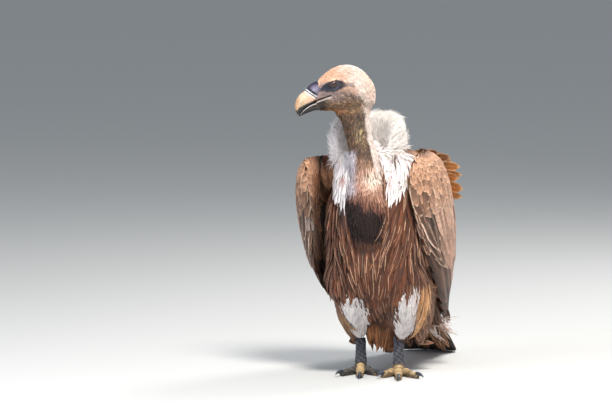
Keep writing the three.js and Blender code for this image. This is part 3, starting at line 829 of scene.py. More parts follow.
def whiteShare(points):  # the white down on both sides of the crop, and round the foot of the neck
    moved = shaken(points, 5, 71)
    sides = np.maximum(*(bandShare(moved, band) for band in whiteBands)) * ease(0, -30, points[:, 1])
    far = np.hypot(points[:, 0] + 20, points[:, 1] + 45)
    return np.maximum(sides, ease(418, 440, points[:, 2]) * ease(80, 60, far))


def cropTint(points):
    across, up = frontPlace(points)
    level = up + 0.466 * (across + 24) + 6 * lumps(points, 20, 25)
    tone = mix(tones["cropTop"], linear("#7c5445"), ease(372, 346, level))
    tone = mix(tone, tones["cropLow"], ease(348, 328, level))
    # painted highlights: a pale orange-pink patch on the crop's top, and white over the pale tufts of its right rim
    tone = mix(tone, tones["peachHighlight"], bump(np.hypot((across + 14) / 32, (up - 394) / 30), 1) * 0.95)
    tone = mix(tone, tones["white"], bump(np.hypot((across - 22) / 17, (up - 368) / 46), 1) * 0.9)
    tone = mix(tone, tones["lilac"] * 0.75, ease(-40, -56, across) * ease(352, 372, up) * 0.9)
    tone = mix(tone, tones["neckPale"], bump((across + 5) / 10, 1.0) * ease(398, 410, up))
    tone = mix(tone, tones["neck"] * 1.1, bump((across + 28) / 16, 1.0) * ease(408, 422, up))
    return mix(tone, linear("#5f3f30"), ease(276, 266, up))


def baseTint(points, share):  # the whole skin; `share` says how far a point lies in each region
    tone = mix(tones["brown"], tones["deep"], 0.5 + 0.3 * lumps(points, 40, 51))
    tone = mix(tone, tones["cream"], whiteShare(points))
    tone = mix(tone, cropTint(points), share("crop"))
    tone = mix(tone, mix(tones["white"], tones["lilac"], ease(-30, -80, points[:, 0]) * 0.6), share("ruff"))
    tone = mix(tone, mix(tones["white"], tones["lilac"], 0.6), np.maximum(*(bandShare(points, b) for b in thighBands)) * ease(30, 10, points[:, 1]))
    tone = mix(tone, skinTint(points), share("head", "neck"))
    # toes yellowish brown, with painted shade darkening the toes on the bird's right side
    toeToneWithShade = mix(linear("#6f5c42"), linear("#3c3936"), ease(0, -8, points[:, 0]))
    tone = mix(tone, toeToneWithShade * (1 + 0.2 * lumps(points, 6, 52))[:, None], share("toe"))
    return mix(tone, linear("#3d3d45"), ease(96, 80, points[:, 2]) * share("shank"))


def skinTint(points):  # head and neck
    local = toHead(points)
    inHead = np.maximum(ease(-46, -34, local[:, 2]), ease(-30, -40, local[:, 1]))
    return mix(neckTint(points), headTint(local), inHead)


# ---- materials --------------------------------------------------------------------------------------
def newMaterial(name, roughness=0.6, **sockets):
    made = bpy.data.materials.new(name)
    made.use_nodes = True
    shader = made.node_tree.nodes["Principled BSDF"]
    shader.inputs["Roughness"].default_value = roughness
    for key, value in sockets.items():
        shader.inputs[key.replace("_", " ")].default_value = value
    return made, made.node_tree, shader


def node(tree, kind, inputs=None, **settings):
    made = tree.nodes.new(kind)
    for key, value in settings.items():
        setattr(made, key, value)
    for key, value in (inputs or {}).items():
        socket = made.inputs[key]
        if isinstance(value, bpy.types.NodeSocket):
            tree.links.new(value, socket)
        else:
            socket.default_value = value
    return made


def maths(tree, operation, a, b=0.0, clamp=False):
    return node(tree, "ShaderNodeMath", {0: a, 1: b}, operation=operation, use_clamp=clamp).outputs[0]


def noise(tree, vector, scale, detail=3.0, rough=0.55):
    made = node(tree, "ShaderNodeTexNoise", {"Vector": vector, "Scale": scale, "Detail": detail, "Roughness": rough})
    return made.outputs["Fac"]


def ranged(tree, value, low, high, toLow=0.0, toHigh=1.0):
    made = node(tree, "ShaderNodeMapRange", {0: value, 1: low, 2: high, 3: toLow, 4: toHigh}, interpolation_type="SMOOTHSTEP")
    return made.outputs[0]


def blended(tree, factor, a, b, kind="MIX"):
    made = node(tree, "ShaderNodeMix", data_type="RGBA", blend_type=kind, clamp_factor=True)
    for slot, value in ((0, factor), (6, a), (7, b)):
        if isinstance(value, bpy.types.NodeSocket):
            tree.links.new(value, made.inputs[slot])
        else:
            made.inputs[slot].default_value = value if slot == 0 else (*value, 1)
    return made.outputs[2]


def raised(tree, height, strength, distance=0.001):
    return node(tree, "ShaderNodeBump", {"Height": height, "Strength": strength, "Distance": distance}).outputs["Normal"]


def skinMaterial():
    made, tree, shader = newMaterial("bareSkin", 0.62)
    place = node(tree, "ShaderNodeTexCoord").outputs["Object"]
    tint = node(tree, "ShaderNodeAttribute", attribute_name="tint").outputs["Color"]
    fine, coarse = noise(tree, place, 900), noise(tree, place, 220)
    shade = ranged(tree, fine, 0.3, 0.7, 0.72, 1.25)
    colour = node(tree, "ShaderNodeVectorMath", {0: tint}, operation="SCALE")
    tree.links.new(shade, colour.inputs["Scale"])
    tree.links.new(colour.outputs[0], shader.inputs["Base Color"])
    tree.links.new(ranged(tree, coarse, 0.3, 0.7, 0.5, 0.75), shader.inputs["Roughness"])
    tree.links.new(raised(tree, maths(tree, "ADD", fine, coarse), 0.5, 0.0007), shader.inputs["Normal"])
    return made


def paint(mesh, name, colours, domain="POINT"):
    layer = mesh.attributes.new(name, "FLOAT_COLOR", domain)
    colours = np.asarray(colours, float)
    if colours.shape[1] == 3:
        colours = np.hstack([colours, np.ones((len(colours), 1))])
    layer.data.foreach_set("color", np.clip(colours, 0, 1).ravel())


skin = makeMesh("skin", skinPoints, skinFaces)
def regionShare(*starts):
    inside = np.any([np.char.startswith(pointNames, start) for start in starts], axis=0).astype(float)
    return np.clip(relaxed(inside[:, None], skinFaces, 4)[:, 0], 0, 1)


paint(skin.data, "tint", baseTint(skinPoints, regionShare))
skin.data.materials.append(skinMaterial())
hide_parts("head", "neck_upper", *bodyNodes, *footNodes, *wingNodes, "tail")
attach(skin, "root")

# ---- the bill, cere and eyes as pieces -----------------------------------------------------------------------
def hornMaterial(name, roughness, scale, coat=0.0):
    made, tree, shader = newMaterial(name, roughness, Coat_Weight=coat, Coat_Roughness=0.12)
    place = node(tree, "ShaderNodeTexCoord").outputs["Object"]
    tint = node(tree, "ShaderNodeAttribute", attribute_name="tint").outputs["Color"]
    stretched = node(tree, "ShaderNodeMapping", {0: place, 3: (1.0, 1.0, 0.45)}).outputs[0]
    grain, cloud = noise(tree, stretched, scale, 4), noise(tree, place, scale / 5, 2)
    scaled = node(tree, "ShaderNodeVectorMath", {0: tint}, operation="SCALE")
    shade = maths(tree, "MULTIPLY", ranged(tree, grain, 0.3, 0.7, 0.86, 1.12), ranged(tree, cloud, 0.3, 0.7, 0.88, 1.1))
    tree.links.new(shade, scaled.inputs["Scale"])
    tree.links.new(scaled.outputs[0], shader.inputs["Base Color"])
    tree.links.new(ranged(tree, grain, 0.3, 0.7, roughness - 0.08, roughness + 0.12), shader.inputs["Roughness"])
    tree.links.new(raised(tree, grain, 0.4, 0.0004), shader.inputs["Normal"])
    return made


def headPiece(name, points, faces, tint, material, slot, *stoodFor):
    made = makeMesh(name, fromHead(points), faces)
    paint(made.data, "tint", tint)
    made.data.materials.append(material)
    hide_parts(*stoodFor)
    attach(made, "root")
    return made


hornGloss = hornMaterial("billHorn", 0.38, 500, 0.25)
cereGloss = hornMaterial("cereSkin", 0.42, 700, 0.2)
at = np.stack([np.abs(horn[:, 0]), horn[:, 1], horn[:, 2]], -1)
front = (horn - cereEdge[0]) @ cereNormal
dark, _ = lineDistance(at, np.array([[15, -74, -16.5], [14, -81, -19.9], [9, -93, -26], [3, -102.7, -31], [0, -104, -38]]))
below = np.interp(horn[:, 1], [-104, -102.7, -93, -81, -74, -60], [-36, -31, -26, -19.9, -16.5, -10]) - horn[:, 2]
tone = mix(linear("#deb59c"), linear("#c3aa86"), ease(8, 24, front) * ease(14, -24, horn[:, 2]))
tone = mix(tone, linear("#cf9468"), ease(-99, -104, horn[:, 1]) * 0.5)
tone = mix(tone, linear("#efe2d6"), ease(4.0, 2.4, front))
tone = mix(tone, linear("#0d0b12"), ease(1.5, 0.5, front))
tone = mix(tone, linear("#17171a"), ease(-3.4, 2.2, below + 1.2 * lumps(horn, 10, 63)))
tone = mix(tone, linear("#4a3428"), ease(-40, -48, horn[:, 2]) * 0.5)
headPiece("bill_horn", horn, hornFaces, tone, hornGloss, "bill_horn", "bill_upper")

tone = mix(linear("#403a50"), linear("#252138"), ease(0, 14, cere[:, 2]))
# a pale lilac patch on each side of the cere, partly its own colour and partly a painted highlight
lilac = bump(np.linalg.norm(np.stack([np.abs(cere[:, 0]) - 14, cere[:, 1] + 70, cere[:, 2] - 6], -1), axis=1), 14)
tone = mix(tone, linear("#9188a0"), lilac * 0.75)
tone = tone * (1 + 0.22 * lumps(cere, 5, 64))[:, None]
behind = -((cere - cereEdge[0]) @ cereNormal)
tone = mix(tone, linear("#e9e4ea"), bump(behind - 2.3, 1.5) * 1.3)
# black along the cere's front edge, and painted shade filling the nostril slit
tone = mix(tone, linear("#0d0b12"), np.maximum(ease(1.1, 0.5, behind), bump(slit, 3.4) * 1.6))
headPiece("cere_collar", cere, cereFaces, tone, cereGloss, "cere_skin", "cere")

at = np.stack([np.abs(lower[:, 0]), lower[:, 1], lower[:, 2]], -1)
lip = bump((np.minimum(np.abs(lowerAngle - 22), np.abs(lowerAngle - 158))) / 6.5, 1.0)
tone = mix(linear("#33271f"), linear("#1d1715"), ease(-60, -80, lower[:, 1]))
tone = mix(tone, linear("#6f5138"), ease(250, 270, lowerAngle) * ease(290, 270, lowerAngle) * 0.5)
tone = mix(tone, linear("#dcd2c8"), lip)
# painted shade: near-black over the top of the lower mandible, inside the closed bill
tone = mix(tone, linear("#0c0908"), ease(40, 48, lowerAngle) * ease(140, 132, lowerAngle))
headPiece("bill_mandible", lower, lowerFaces, tone, hornGloss, "bill_horn", "bill_lower")

eyeGloss = hornMaterial("eyeGloss", 0.35, 900, 0.45)
for sign, sideName in ((1, "left"), (-1, "right")):
    ball, ballFaces, degrees = eyeBall(sign)
    rays = 0.5 + 0.5 * np.sin(np.arctan2(ball[:, 2] - eyeSeat[2], ball[:, 1] - eyeSeat[1]) * 23)
    tone = mix(linear("#2a140b"), linear("#4a2716"), rays)
    tone = mix(tone, linear("#2a130c"), ease(billSizes["iris"] - 9, billSizes["iris"], degrees))
    tone = mix(tone, linear("#15100f"), ease(billSizes["iris"] - 1, billSizes["iris"] + 1, degrees))
    tone = mix(tone, linear("#030202"), ease(billSizes["pupil"] + 1, billSizes["pupil"] - 1, degrees))
    headPiece(f"eyeball_{sideName}", ball, ballFaces, tone, eyeGloss, "eye", f"eye_{sideName}")

# ---- claws and the plates of the toes and shanks -----------------------------------------------------------
footSizes = {"scuteStep": 4.3, "scuteReach": 74.0, "scuteRise": 0.13, "scaleStep": 3.5, "scaleRise": 0.28, "unevenness": 0.12}
toeNames = ("middle", "inner", "outer", "hallux")
clawParts = []
for sideName in ("left", "right"):
    for toe in toeNames:
        points, faces = remeshed(*nodeMesh(f"claw_{toe}_{sideName}"), 0.75)
        clawParts.append((relaxed(points, faces, 4), faces))
clawPoints, clawFaces = joined(clawParts)
grain = lumps(clawPoints, 8, 91)
tone = mix(linear("#1d1e23"), linear("#4a5160"), np.clip(0.35 + 0.5 * grain, 0, 1))
clawNormals = pointNormals(clawPoints, clawFaces)
# painted highlight: claws grow paler where their surface faces up
tone = mix(tone, linear("#6f7886"), ease(0.55, 0.95, clawNormals[:, 2]) * 0.5)
headPiece("claws", toHead(clawPoints), clawFaces, tone, hornMaterial("clawHorn", 0.36, 420, 0.2), "claw",
          *[f"claw_{toe}_{sideName}" for sideName in ("left", "right") for toe in toeNames])


def plateNodes():  # puts a plate on every point, turned and sized by the point's own values
    tree = bpy.data.node_groups.new("plateRows", "GeometryNodeTree")
    for name, kind in (("Points", "Geometry"), ("Plate", "Object"), ("Material", "Material"), ("Unevenness", "Float"), ("Seed", "Int")):
        tree.interface.new_socket(name=name, in_out="INPUT", socket_type=f"NodeSocket{kind}")
    tree.interface.new_socket(name="Plates", in_out="OUTPUT", socket_type="NodeSocketGeometry")
    start, end = tree.nodes.new("NodeGroupInput"), tree.nodes.new("NodeGroupOutput")
    plate = node(tree, "GeometryNodeObjectInfo", {"Object": start.outputs["Plate"]}).outputs["Geometry"]
    values = [node(tree, "GeometryNodeInputNamedAttribute", {"Name": key}, data_type="FLOAT_VECTOR").outputs["Attribute"]
              for key in ("turn", "size")]
    low = node(tree, "ShaderNodeMath", {0: 1.0, 1: start.outputs["Unevenness"]}, operation="SUBTRACT").outputs[0]
    high = node(tree, "ShaderNodeMath", {0: 1.0, 1: start.outputs["Unevenness"]}, operation="ADD").outputs[0]
    vary = node(tree, "FunctionNodeRandomValue", {2: low, 3: high, "Seed": start.outputs["Seed"]}, data_type="FLOAT").outputs[1]
    scaled = node(tree, "ShaderNodeVectorMath", {0: values[1]}, operation="SCALE")
    tree.links.new(vary, scaled.inputs["Scale"])
    points = node(tree, "GeometryNodeMeshToPoints", {"Mesh": start.outputs["Points"]}).outputs[0]
    rotation = node(tree, "FunctionNodeEulerToRotation", {0: values[0]}).outputs[0]
    placed = node(tree, "GeometryNodeInstanceOnPoints", {"Points": points, "Instance": plate, "Rotation": rotation,
                                                          "Scale": scaled.outputs[0]}).outputs[0]
    real = node(tree, "GeometryNodeRealizeInstances", {0: placed}).outputs[0]
    done = node(tree, "GeometryNodeSetMaterial", {"Geometry": real, "Material": start.outputs["Material"]}).outputs[0]
    tree.links.new(done, end.inputs[0])
    return tree


def domed(columns, rows, half, sharp):  # a closed, thin, curved plate one unit in radius
    angle, v = np.meshgrid(np.radians(np.linspace(-half, half, columns)), np.linspace(-0.5, 0.5, rows))
    edge = np.clip(1 - (np.abs(angle) / np.radians(half)) ** 4, 0, 1)
    far = 1 + footSizes["scuteRise"] * ease(-0.5, sharp, v) * ease(0.56, 0.40, v) * edge
    length = v * (1 - 0.35 * (np.abs(angle) / np.radians(half)) ** 2)
    outer = np.stack([np.sin(angle) * far, length, np.cos(angle) * far], -1)
    inner = outer * [0.9, 1, 0.9]
    sides = rows * columns
    faces = []
    for i in range(rows - 1):
        for j in range(columns - 1):
            a, b = i * columns + j, i * columns + j + 1
            c, d = b + columns, a + columns
            faces += [[a, b, c], [a, c, d], [sides + c, sides + b, sides + a], [sides + d, sides + c, sides + a]]
    loop = [*range(columns), *range(2 * columns - 1, sides, columns), *range(sides - 2, sides - columns - 1, -1),
            *range(sides - 2 * columns, 0, -columns)]
    for a, b in zip(loop, loop[1:] + loop[:1]):
        faces += [[a, sides + a, sides + b], [a, sides + b, b]]
    points = np.concatenate([outer.reshape(-1, 3), inner.reshape(-1, 3)])
    return points, facingOut(points - points.mean(0), np.array(faces))


def pebble():  # a low, closed, six-sided scale
    ring = np.radians(np.arange(6) * 60 + 30)
    rim = np.stack([np.cos(ring), np.sin(ring)], -1)
    points = [[*(p * r), h] for r, h in ((0.56, -0.6), (0.56, 0.02), (0.42, footSizes["scaleRise"])) for p in rim]
    points += [[0, 0, footSizes["scaleRise"] * 1.15], [0, 0, -0.6]]
    faces = [[18, 12 + i, 12 + (i + 1) % 6] for i in range(6)] + [[19, (i + 1) % 6, i] for i in range(6)]
    for low in (0, 6):
        for i in range(6):
            j = (i + 1) % 6
            faces += [[low + i, low + j, low + 6 + j], [low + i, low + 6 + j, low + 6 + i]]
    return np.array(points), np.array(faces)


def plated(name, place, frameTurns, sizes, tint, plate, material, seed):
    points = bpy.data.meshes.new(name + "Points")
    points.from_pydata(((place + origin) / 1000).tolist(), [], [])
    for key, values in (("turn", frameTurns), ("size", np.asarray(sizes) / 1000)):
        layer = points.attributes.new(key, "FLOAT_VECTOR", "POINT")
        layer.data.foreach_set("vector", np.asarray(values, float).ravel())
    paint(points, "tint", tint)
    holder = bpy.data.objects.new(name + "Holder", points)
    mesh = bpy.data.meshes.new(name + "Plate")
    mesh.from_pydata(plate[0].tolist(), [], plate[1].tolist())
    mesh.polygons.foreach_set("use_smooth", [True] * len(mesh.polygons))
    shape = bpy.data.objects.new(name + "Shape", mesh)
    bpy.context.scene.collection.objects.link(holder)
    bpy.context.scene.collection.objects.link(shape)
    step = holder.modifiers.new("plates", "NODES")
    step.node_group = plateTree
    given = {"Plate": shape, "Material": material, "Unevenness": footSizes["unevenness"], "Seed": seed}
    for item in plateTree.interface.items_tree:
        if item.name in given:
            step[item.identifier] = given[item.name]
    bpy.context.view_layer.update()
    made = bpy.data.meshes.new_from_object(holder.evaluated_get(bpy.context.evaluated_depsgraph_get()))
    for old in (holder, shape):
        bpy.data.objects.remove(old)
    done = bpy.data.objects.new(name, made)
    made.name = name
    bpy.context.scene.collection.objects.link(done)
    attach(done, "root")
    print(name, len(made.polygons), "faces")
    return done


def eulersOf(ahead, up):  # turns that put a plate's length along `ahead` and its top towards `up`
    turns = []
    for a, u in zip(unit(ahead), up):
        side = unit(np.cross(a, u))
        turns.append(Matrix(np.stack([side, a, np.cross(side, a)], 1).tolist()).to_euler())
    return np.array(turns)


plateTree = plateNodes()
toeGloss = hornMaterial("toePlates", 0.5, 380)
toePlace, toeAhead, toeSize, toeTint = [], [], [], []
scalePlace, scaleAhead, scaleUp, scaleTint = [], [], [], []
for sideName in ("left", "right"):
    shank = nodeMesh(f"shank_{sideName}")[0]
    foot = shank[shank[:, 2] < 30].mean(0)
    for toe in toeNames:
        points = nodeMesh(f"toe_{toe}_{sideName}")[0]
        points = points[np.lexsort(points.T)]
        claw = nodeMesh(f"claw_{toe}_{sideName}")[0].mean(0)
        ahead = unit((claw - foot) * [1, 1, 0])
        side = np.cross(ahead, [0, 0, 1])
        shell = feet
        run, off = (shell - foot) @ ahead, (shell - foot) @ side
        last = ((points - foot) @ ahead).max() - 2
        near = (np.abs(off) < 12) & (run > 0) & (shell[:, 2] < 26)
        rows = []
        for at in np.arange(17.0 if toe == "middle" else 25.0, last, footSizes["scuteStep"]):
            slice_ = shell[near & (np.abs(run - at) < 2.2)]
            if len(slice_) < 8:
                continue
            across = (slice_ - foot) @ side
            edges = np.percentile(across[slice_[:, 2] > np.percentile(slice_[:, 2], 35)], [3, 97])
            rows.append([at, min((edges[1] - edges[0]) / 2, 8.6), slice_[:, 2].max(), edges.mean() * (at > 34)])
        at, half, top, middle = np.array(rows).T
        slope = np.clip(np.gradient(top, at), -0.6, 0.3)
        # the middle toe and the toes of the foot in light keep their yellowish brown; the other toes get painted shade
        # as dark grey
        toeInLight = sideName == "left" or toe == "middle"
        for i in range(len(at)):
            centre = foot * [1, 1, 0] + ahead * at[i] + side * middle[i]
            toePlace.append(centre + [0, 0, top[i] - half[i] + 0.15 - 1.2 * abs(slope[i])])
            toeAhead.append(unit(ahead + [0, 0, slope[i]]))
            toeSize.append([half[i], footSizes["scuteStep"] * 0.95, half[i]])
            toeTint.append(linear("#b89d72") if toeInLight else linear("#55504c"))
    low, high = 24, shank[:, 2].max() - 1
    for row, z in enumerate(np.arange(low, high, footSizes["scaleStep"] * 0.82)):
        slice_ = feet[(np.abs(feet[:, 2] - z) < 1.6) & (np.linalg.norm((feet - foot)[:, :2], axis=1) < 34)]
        if len(slice_) < 8:
            continue
        middle = (slice_.max(0) + slice_.min(0)) / 2
        turns = np.arctan2(*(slice_ - middle)[:, [1, 0]].T)
        reach = np.linalg.norm((slice_ - middle)[:, :2], axis=1)
        order = np.argsort(turns)
        count = int(2 * math.pi * reach.mean() / footSizes["scaleStep"])
        for k in range(count):
            turn = (k + 0.5 * (row % 2)) * 2 * math.pi / count - math.pi
            far = np.interp(turn, turns[order], reach[order], period=2 * math.pi)
            out = np.array([math.cos(turn), math.sin(turn), 0])
            scalePlace.append([*(middle + out * (far + 0.1))[:2], z])
            scaleUp.append(out)
            scaleTint.append(mix(linear("#2c2d33"), linear("#5f6069"), 0.5 + 0.5 * math.sin(row * 2.3 + k * 1.7)))
toeTint = np.array(toeTint) * (1 + 0.2 * lumps(np.array(toePlace), 9, 92))[:, None]
toeUp = np.tile([0, 0, 1.0], (len(toePlace), 1))
plated("toe_scutes", np.array(toePlace), eulersOf(np.array(toeAhead), toeUp), toeSize, toeTint, domed(7, 4, 78, 0.3), toeGloss, 5)
scaleAhead = np.tile([0, 0, 1.0], (len(scalePlace), 1))
plated("shank_scales", np.array(scalePlace), eulersOf(scaleAhead, np.array(scaleUp)), np.full((len(scalePlace), 3), footSizes["scaleStep"]),
       np.array(scaleTint), pebble(), hornMaterial("shankPlates", 0.55, 380), 6)

# ---- feathers and down: how they are spread, laid and built ---------------------------------------------
def facesOf(*starts):
    return np.any([np.char.startswith(faceNames, start) for start in starts], axis=0)


def spread(wanted, spacing, seed, crowd=2.0):  # roots on the skin, about `spacing` apart
    rng = np.random.default_rng(seed)
    corners = skinPoints[skinFaces]
    area = np.linalg.norm(np.cross(corners[:, 1] - corners[:, 0], corners[:, 2] - corners[:, 0]), axis=1) / 2
    gap = np.broadcast_to(np.asarray(spacing, float), len(skinFaces))
    weight = np.where(wanted, area / gap**2, 0)
    count = int(weight.sum() * crowd)
    face = rng.choice(len(skinFaces), count, p=weight / weight.sum())
    share = rng.random((count, 2))
    share = np.where(share.sum(1, keepdims=True) > 1, 1 - share, share)
    share = np.column_stack([1 - share.sum(1), share])
    place = (corners[face] * share[..., None]).sum(1)
    least, cell = (gap[face] * 0.8) ** 2, gap[wanted].max()
    taken, kept = {}, []
    keys = np.floor(place / cell).astype(int).tolist()
    around = [(i, j, k) for i in (-1, 0, 1) for j in (-1, 0, 1) for k in (-1, 0, 1)]
    for n, ((kx, ky, kz), (x, y, z), far) in enumerate(zip(keys, place.tolist(), least.tolist())):
        if any(
            (x - q[0]) ** 2 + (y - q[1]) ** 2 + (z - q[2]) ** 2 < far
            for i, j, k in around
            for q in taken.get((kx + i, ky + j, kz + k), ())
        ):
            continue
        taken.setdefault((kx, ky, kz), []).append((x, y, z))
        kept.append(n)
    return place[kept]


def onSkin(points, tree=None):  # nearest place on the skin, its normal and its face
    place, face = np.empty((len(points), 3)), np.empty(len(points), int)
    for i, p in enumerate(points.tolist()):
        place[i], _, face[i], _ = skinTree.find_nearest(Vector(p))
    return place, face, shares(place, face)


def shares(place, face):  # how near a place is to each corner of its triangle
    a, b, c = (skinPoints[skinFaces[face][:, i]] for i in range(3))
    e0, e1, e2 = b - a, c - a, place - a
    d00, d01, d11 = (e0 * e0).sum(1), (e0 * e1).sum(1), (e1 * e1).sum(1)
    d20, d21 = (e2 * e0).sum(1), (e2 * e1).sum(1)
    under = np.maximum(d00 * d11 - d01 * d01, 1e-9)
    v, w = (d11 * d20 - d01 * d21) / under, (d00 * d21 - d01 * d20) / under
    return np.clip(np.column_stack([1 - v - w, v, w]), 0, 1)


def laid(roots, aims, length, stations):  # walks over the skin along the lie of the feather
    spine = np.empty((len(roots), stations, 3))
    up = np.empty_like(spine)
    step = (length / (stations - 1))[:, None]
    at, aim = roots, aims
    for k in range(stations):
        place, face, share = onSkin(at)
        normal = unit((skinNormals[skinFaces[face]] * share[..., None]).sum(1))
        away = np.linalg.norm(at - place, axis=1)[:, None]
        grip = 1 - ease(0.35, 0.8, away / step) if k else np.ones_like(away)
        at = at + (place - at) * grip
        if k:
            normal = unit(up[:, k - 1] * (1 - grip) + normal * (0.15 + grip))
        aim = unit(aim - normal * (aim * normal).sum(1, keepdims=True))
        spine[:, k], up[:, k] = at, normal
        at = at + aim * step
    return spine, up


outlines = {  # half width along a feather, root to tip
    "lance": ([0, 0.15, 0.45, 0.75, 0.92, 1], [0.35, 0.8, 1, 0.74, 0.36, 0]),
    "round": ([0, 0.12, 0.4, 0.8, 0.95, 1], [0.4, 0.8, 1, 0.96, 0.55, 0]),
    "point": ([0, 0.2, 0.6, 0.85, 1], [0.7, 0.9, 1, 0.62, 0]),
    "spike": ([0, 0.4, 1], [0.8, 1, 0]),
}


def vaneBatch(spine, up, width, shape="lance", thick=0.09, root=None, tip=None, accent=None, mark=(0, 0),
              camber=0.12, roll=0.0, sway=0.0, bakeSize=(0.003, 0.003), seed=1):
    """Closed thin vanes with a raised middle, one for each spine."""
    rng = np.random.default_rng(seed)
    count, stations = spine.shape[:2]
    along = np.linspace(0, 1, stations)
    forward = unit(np.gradient(spine, axis=1))
    side = unit(np.cross(forward, up))
    up = np.cross(side, forward)
    turn = (roll * rng.normal(size=count))[:, None, None] * along[None, :, None] ** 0.5
    side, up = side * np.cos(turn) + up * np.sin(turn), up * np.cos(turn) - side * np.sin(turn)
    reach = np.linalg.norm(spine[:, -1] - spine[:, 0], axis=1)
    spine = spine + side * (sway * rng.normal(size=count) * reach)[:, None, None] * along[None, :, None] ** 2
    half = (width / 2)[:, None] * np.interp(along, *outlines[shape])[None]
    crown = half * thick * 2 + 0.12
    left = spine - side * half[..., None] - up * (half * camber)[..., None]
    right = spine + side * half[..., None] - up * (half * camber)[..., None]
    ridge = spine + up * crown[..., None]
    body = np.stack([left, ridge, right], 2)[:, :-1].reshape(count, -1, 3)
    points = np.concatenate([body, spine[:, -1:]], 1)
    per = points.shape[1]
    faces = []
    for k in range(stations - 2):
        a, b = 3 * k, 3 * k + 3
        for i, j in ((0, 1), (1, 2), (2, 0)):
            faces += [[a + i, a + j, b + j], [a + i, b + j, b + i]]
    a = 3 * (stations - 2)
    faces += [[a, a + 1, per - 1], [a + 1, a + 2, per - 1], [a + 2, a, per - 1], [0, 2, 1]]
    faces = np.array(faces)[:, ::-1]
    faces = (faces[None] + per * np.arange(count)[:, None, None]).reshape(-1, 3)
    v = np.append(np.repeat(along[:-1], 3), 1.0)
    u = np.append(np.tile([0, 0.5, 1.0], stations - 1), 0.5)
    tone = mix(root[:, None], tip[:, None], np.broadcast_to(v, (count, per)))
    face, share = onSkin(spine[:, 0])[1:]
    return {
        "points": points.reshape(-1, 3),
        "faces": faces,
        "vane": np.tile(np.column_stack([u, v]), (count, 1)),
        "bake": (bakeAt(face, share)[:, None] + (np.column_stack([u - 0.5, v]) * bakeSize)[None]).reshape(-1, 2),
        "tint": tone.reshape(-1, 3),
        "accent": np.repeat(accent, per, 0),
        "mark": np.repeat(np.column_stack([np.broadcast_to(mark[0], count), np.broadcast_to(mark[1], count),
                                           rng.random(count)]), per, 0),
    }


def bakeAt(face, share):
    return (bakeCorners[face] * share[..., None]).sum(1)


def coatPiece(name, batches, material, nodesStoodFor=()):
    points, faces = joined([(b["points"], b["faces"]) for b in batches])
    points[:, 2] = np.maximum(points[:, 2], 0.4)  # nothing dips under the floor
    made = makeMesh(name, points, facingOut(points, faces))
    mesh = made.data
    loops = np.empty(len(mesh.loops), np.int32)
    mesh.loops.foreach_get("vertex_index", loops)
    for layerName, key in (("vane", "vane"), ("OFBake", "bake")):
        layer = mesh.uv_layers.new(name=layerName, do_init=False)
        layer.uv.foreach_set("vector", np.vstack([b[key] for b in batches])[loops].astype(np.float32).ravel())
    mesh.uv_layers["vane"].active = True
    for key in ("tint", "accent", "mark"):
        paint(mesh, key, np.vstack([b[key] for b in batches]))
    mesh.set_sharp_from_angle(angle=math.radians(60))
    mesh.materials.append(material)
    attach(made, "root")
    if nodesStoodFor:
        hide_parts(*nodesStoodFor)
    print(name, len(mesh.polygons), "triangles")
    return made


def featherMaterial(name, roughness, barbs, sheen=0.0, cloudy=1.0):
    made, tree, shader = newMaterial(name, roughness, Sheen_Weight=sheen, Sheen_Roughness=0.5)
    tint = node(tree, "ShaderNodeAttribute", attribute_name="tint").outputs["Color"]
    accent = node(tree, "ShaderNodeAttribute", attribute_name="accent").outputs["Color"]
    mark = node(tree, "ShaderNodeSeparateColor", {0: node(tree, "ShaderNodeAttribute", attribute_name="mark").outputs["Color"]})
    across, along, _ = node(tree, "ShaderNodeSeparateXYZ", {0: node(tree, "ShaderNodeUVMap", uv_map="vane").outputs[0]}).outputs
    off = maths(tree, "MULTIPLY", maths(tree, "ABSOLUTE", maths(tree, "SUBTRACT", across, 0.5)), 2.0)
    shaft = maths(tree, "MULTIPLY", maths(tree, "MULTIPLY", ranged(tree, off, 0.24, 0.06), ranged(tree, along, 0.18, 0.4)), mark.outputs[0])
    edge = maths(tree, "MAXIMUM", ranged(tree, off, 0.62, 0.95), ranged(tree, along, 0.86, 0.97))
    rim = maths(tree, "MULTIPLY", edge, mark.outputs[1])
    colour = blended(tree, maths(tree, "MAXIMUM", shaft, rim), tint, accent)
    slant = maths(tree, "SUBTRACT", maths(tree, "MULTIPLY", along, barbs), maths(tree, "MULTIPLY", off, barbs * 0.25))
    place = node(tree, "ShaderNodeTexCoord").outputs["Object"]
    ribs = maths(tree, "SINE", maths(tree, "ADD", maths(tree, "MULTIPLY", slant, 6.283), maths(tree, "MULTIPLY", noise(tree, place, 60), 5.0)))
    patchy = noise(tree, place, 130, 4)
    shade = maths(tree, "ADD", ranged(tree, patchy, 0.3, 0.7, 1 - 0.26 * cloudy, 1 + 0.22 * cloudy), maths(tree, "MULTIPLY", ribs, 0.06))
    shade = maths(tree, "MULTIPLY", shade, ranged(tree, mark.outputs[2], 0.0, 1.0, 0.86, 1.14))
    scaled = node(tree, "ShaderNodeVectorMath", {0: colour}, operation="SCALE")
    tree.links.new(shade, scaled.inputs["Scale"])
    tree.links.new(scaled.outputs[0], shader.inputs["Base Color"])
    tree.links.new(ranged(tree, patchy, 0.3, 0.7, roughness - 0.1, roughness + 0.1), shader.inputs["Roughness"])
    tree.links.new(raised(tree, ribs, 0.35, 0.0006), shader.inputs["Normal"])
    return made


contourFeathers = featherMaterial("contourFeathers", 0.7, 26.0, 0.04)
velvet = featherMaterial("cropVelvet", 0.95, 6.0)
softDown = featherMaterial("softDown", 0.9, 6.0, 0.3, 0.4)
flightFeathers = featherMaterial("flightFeathers", 0.55, 60.0)

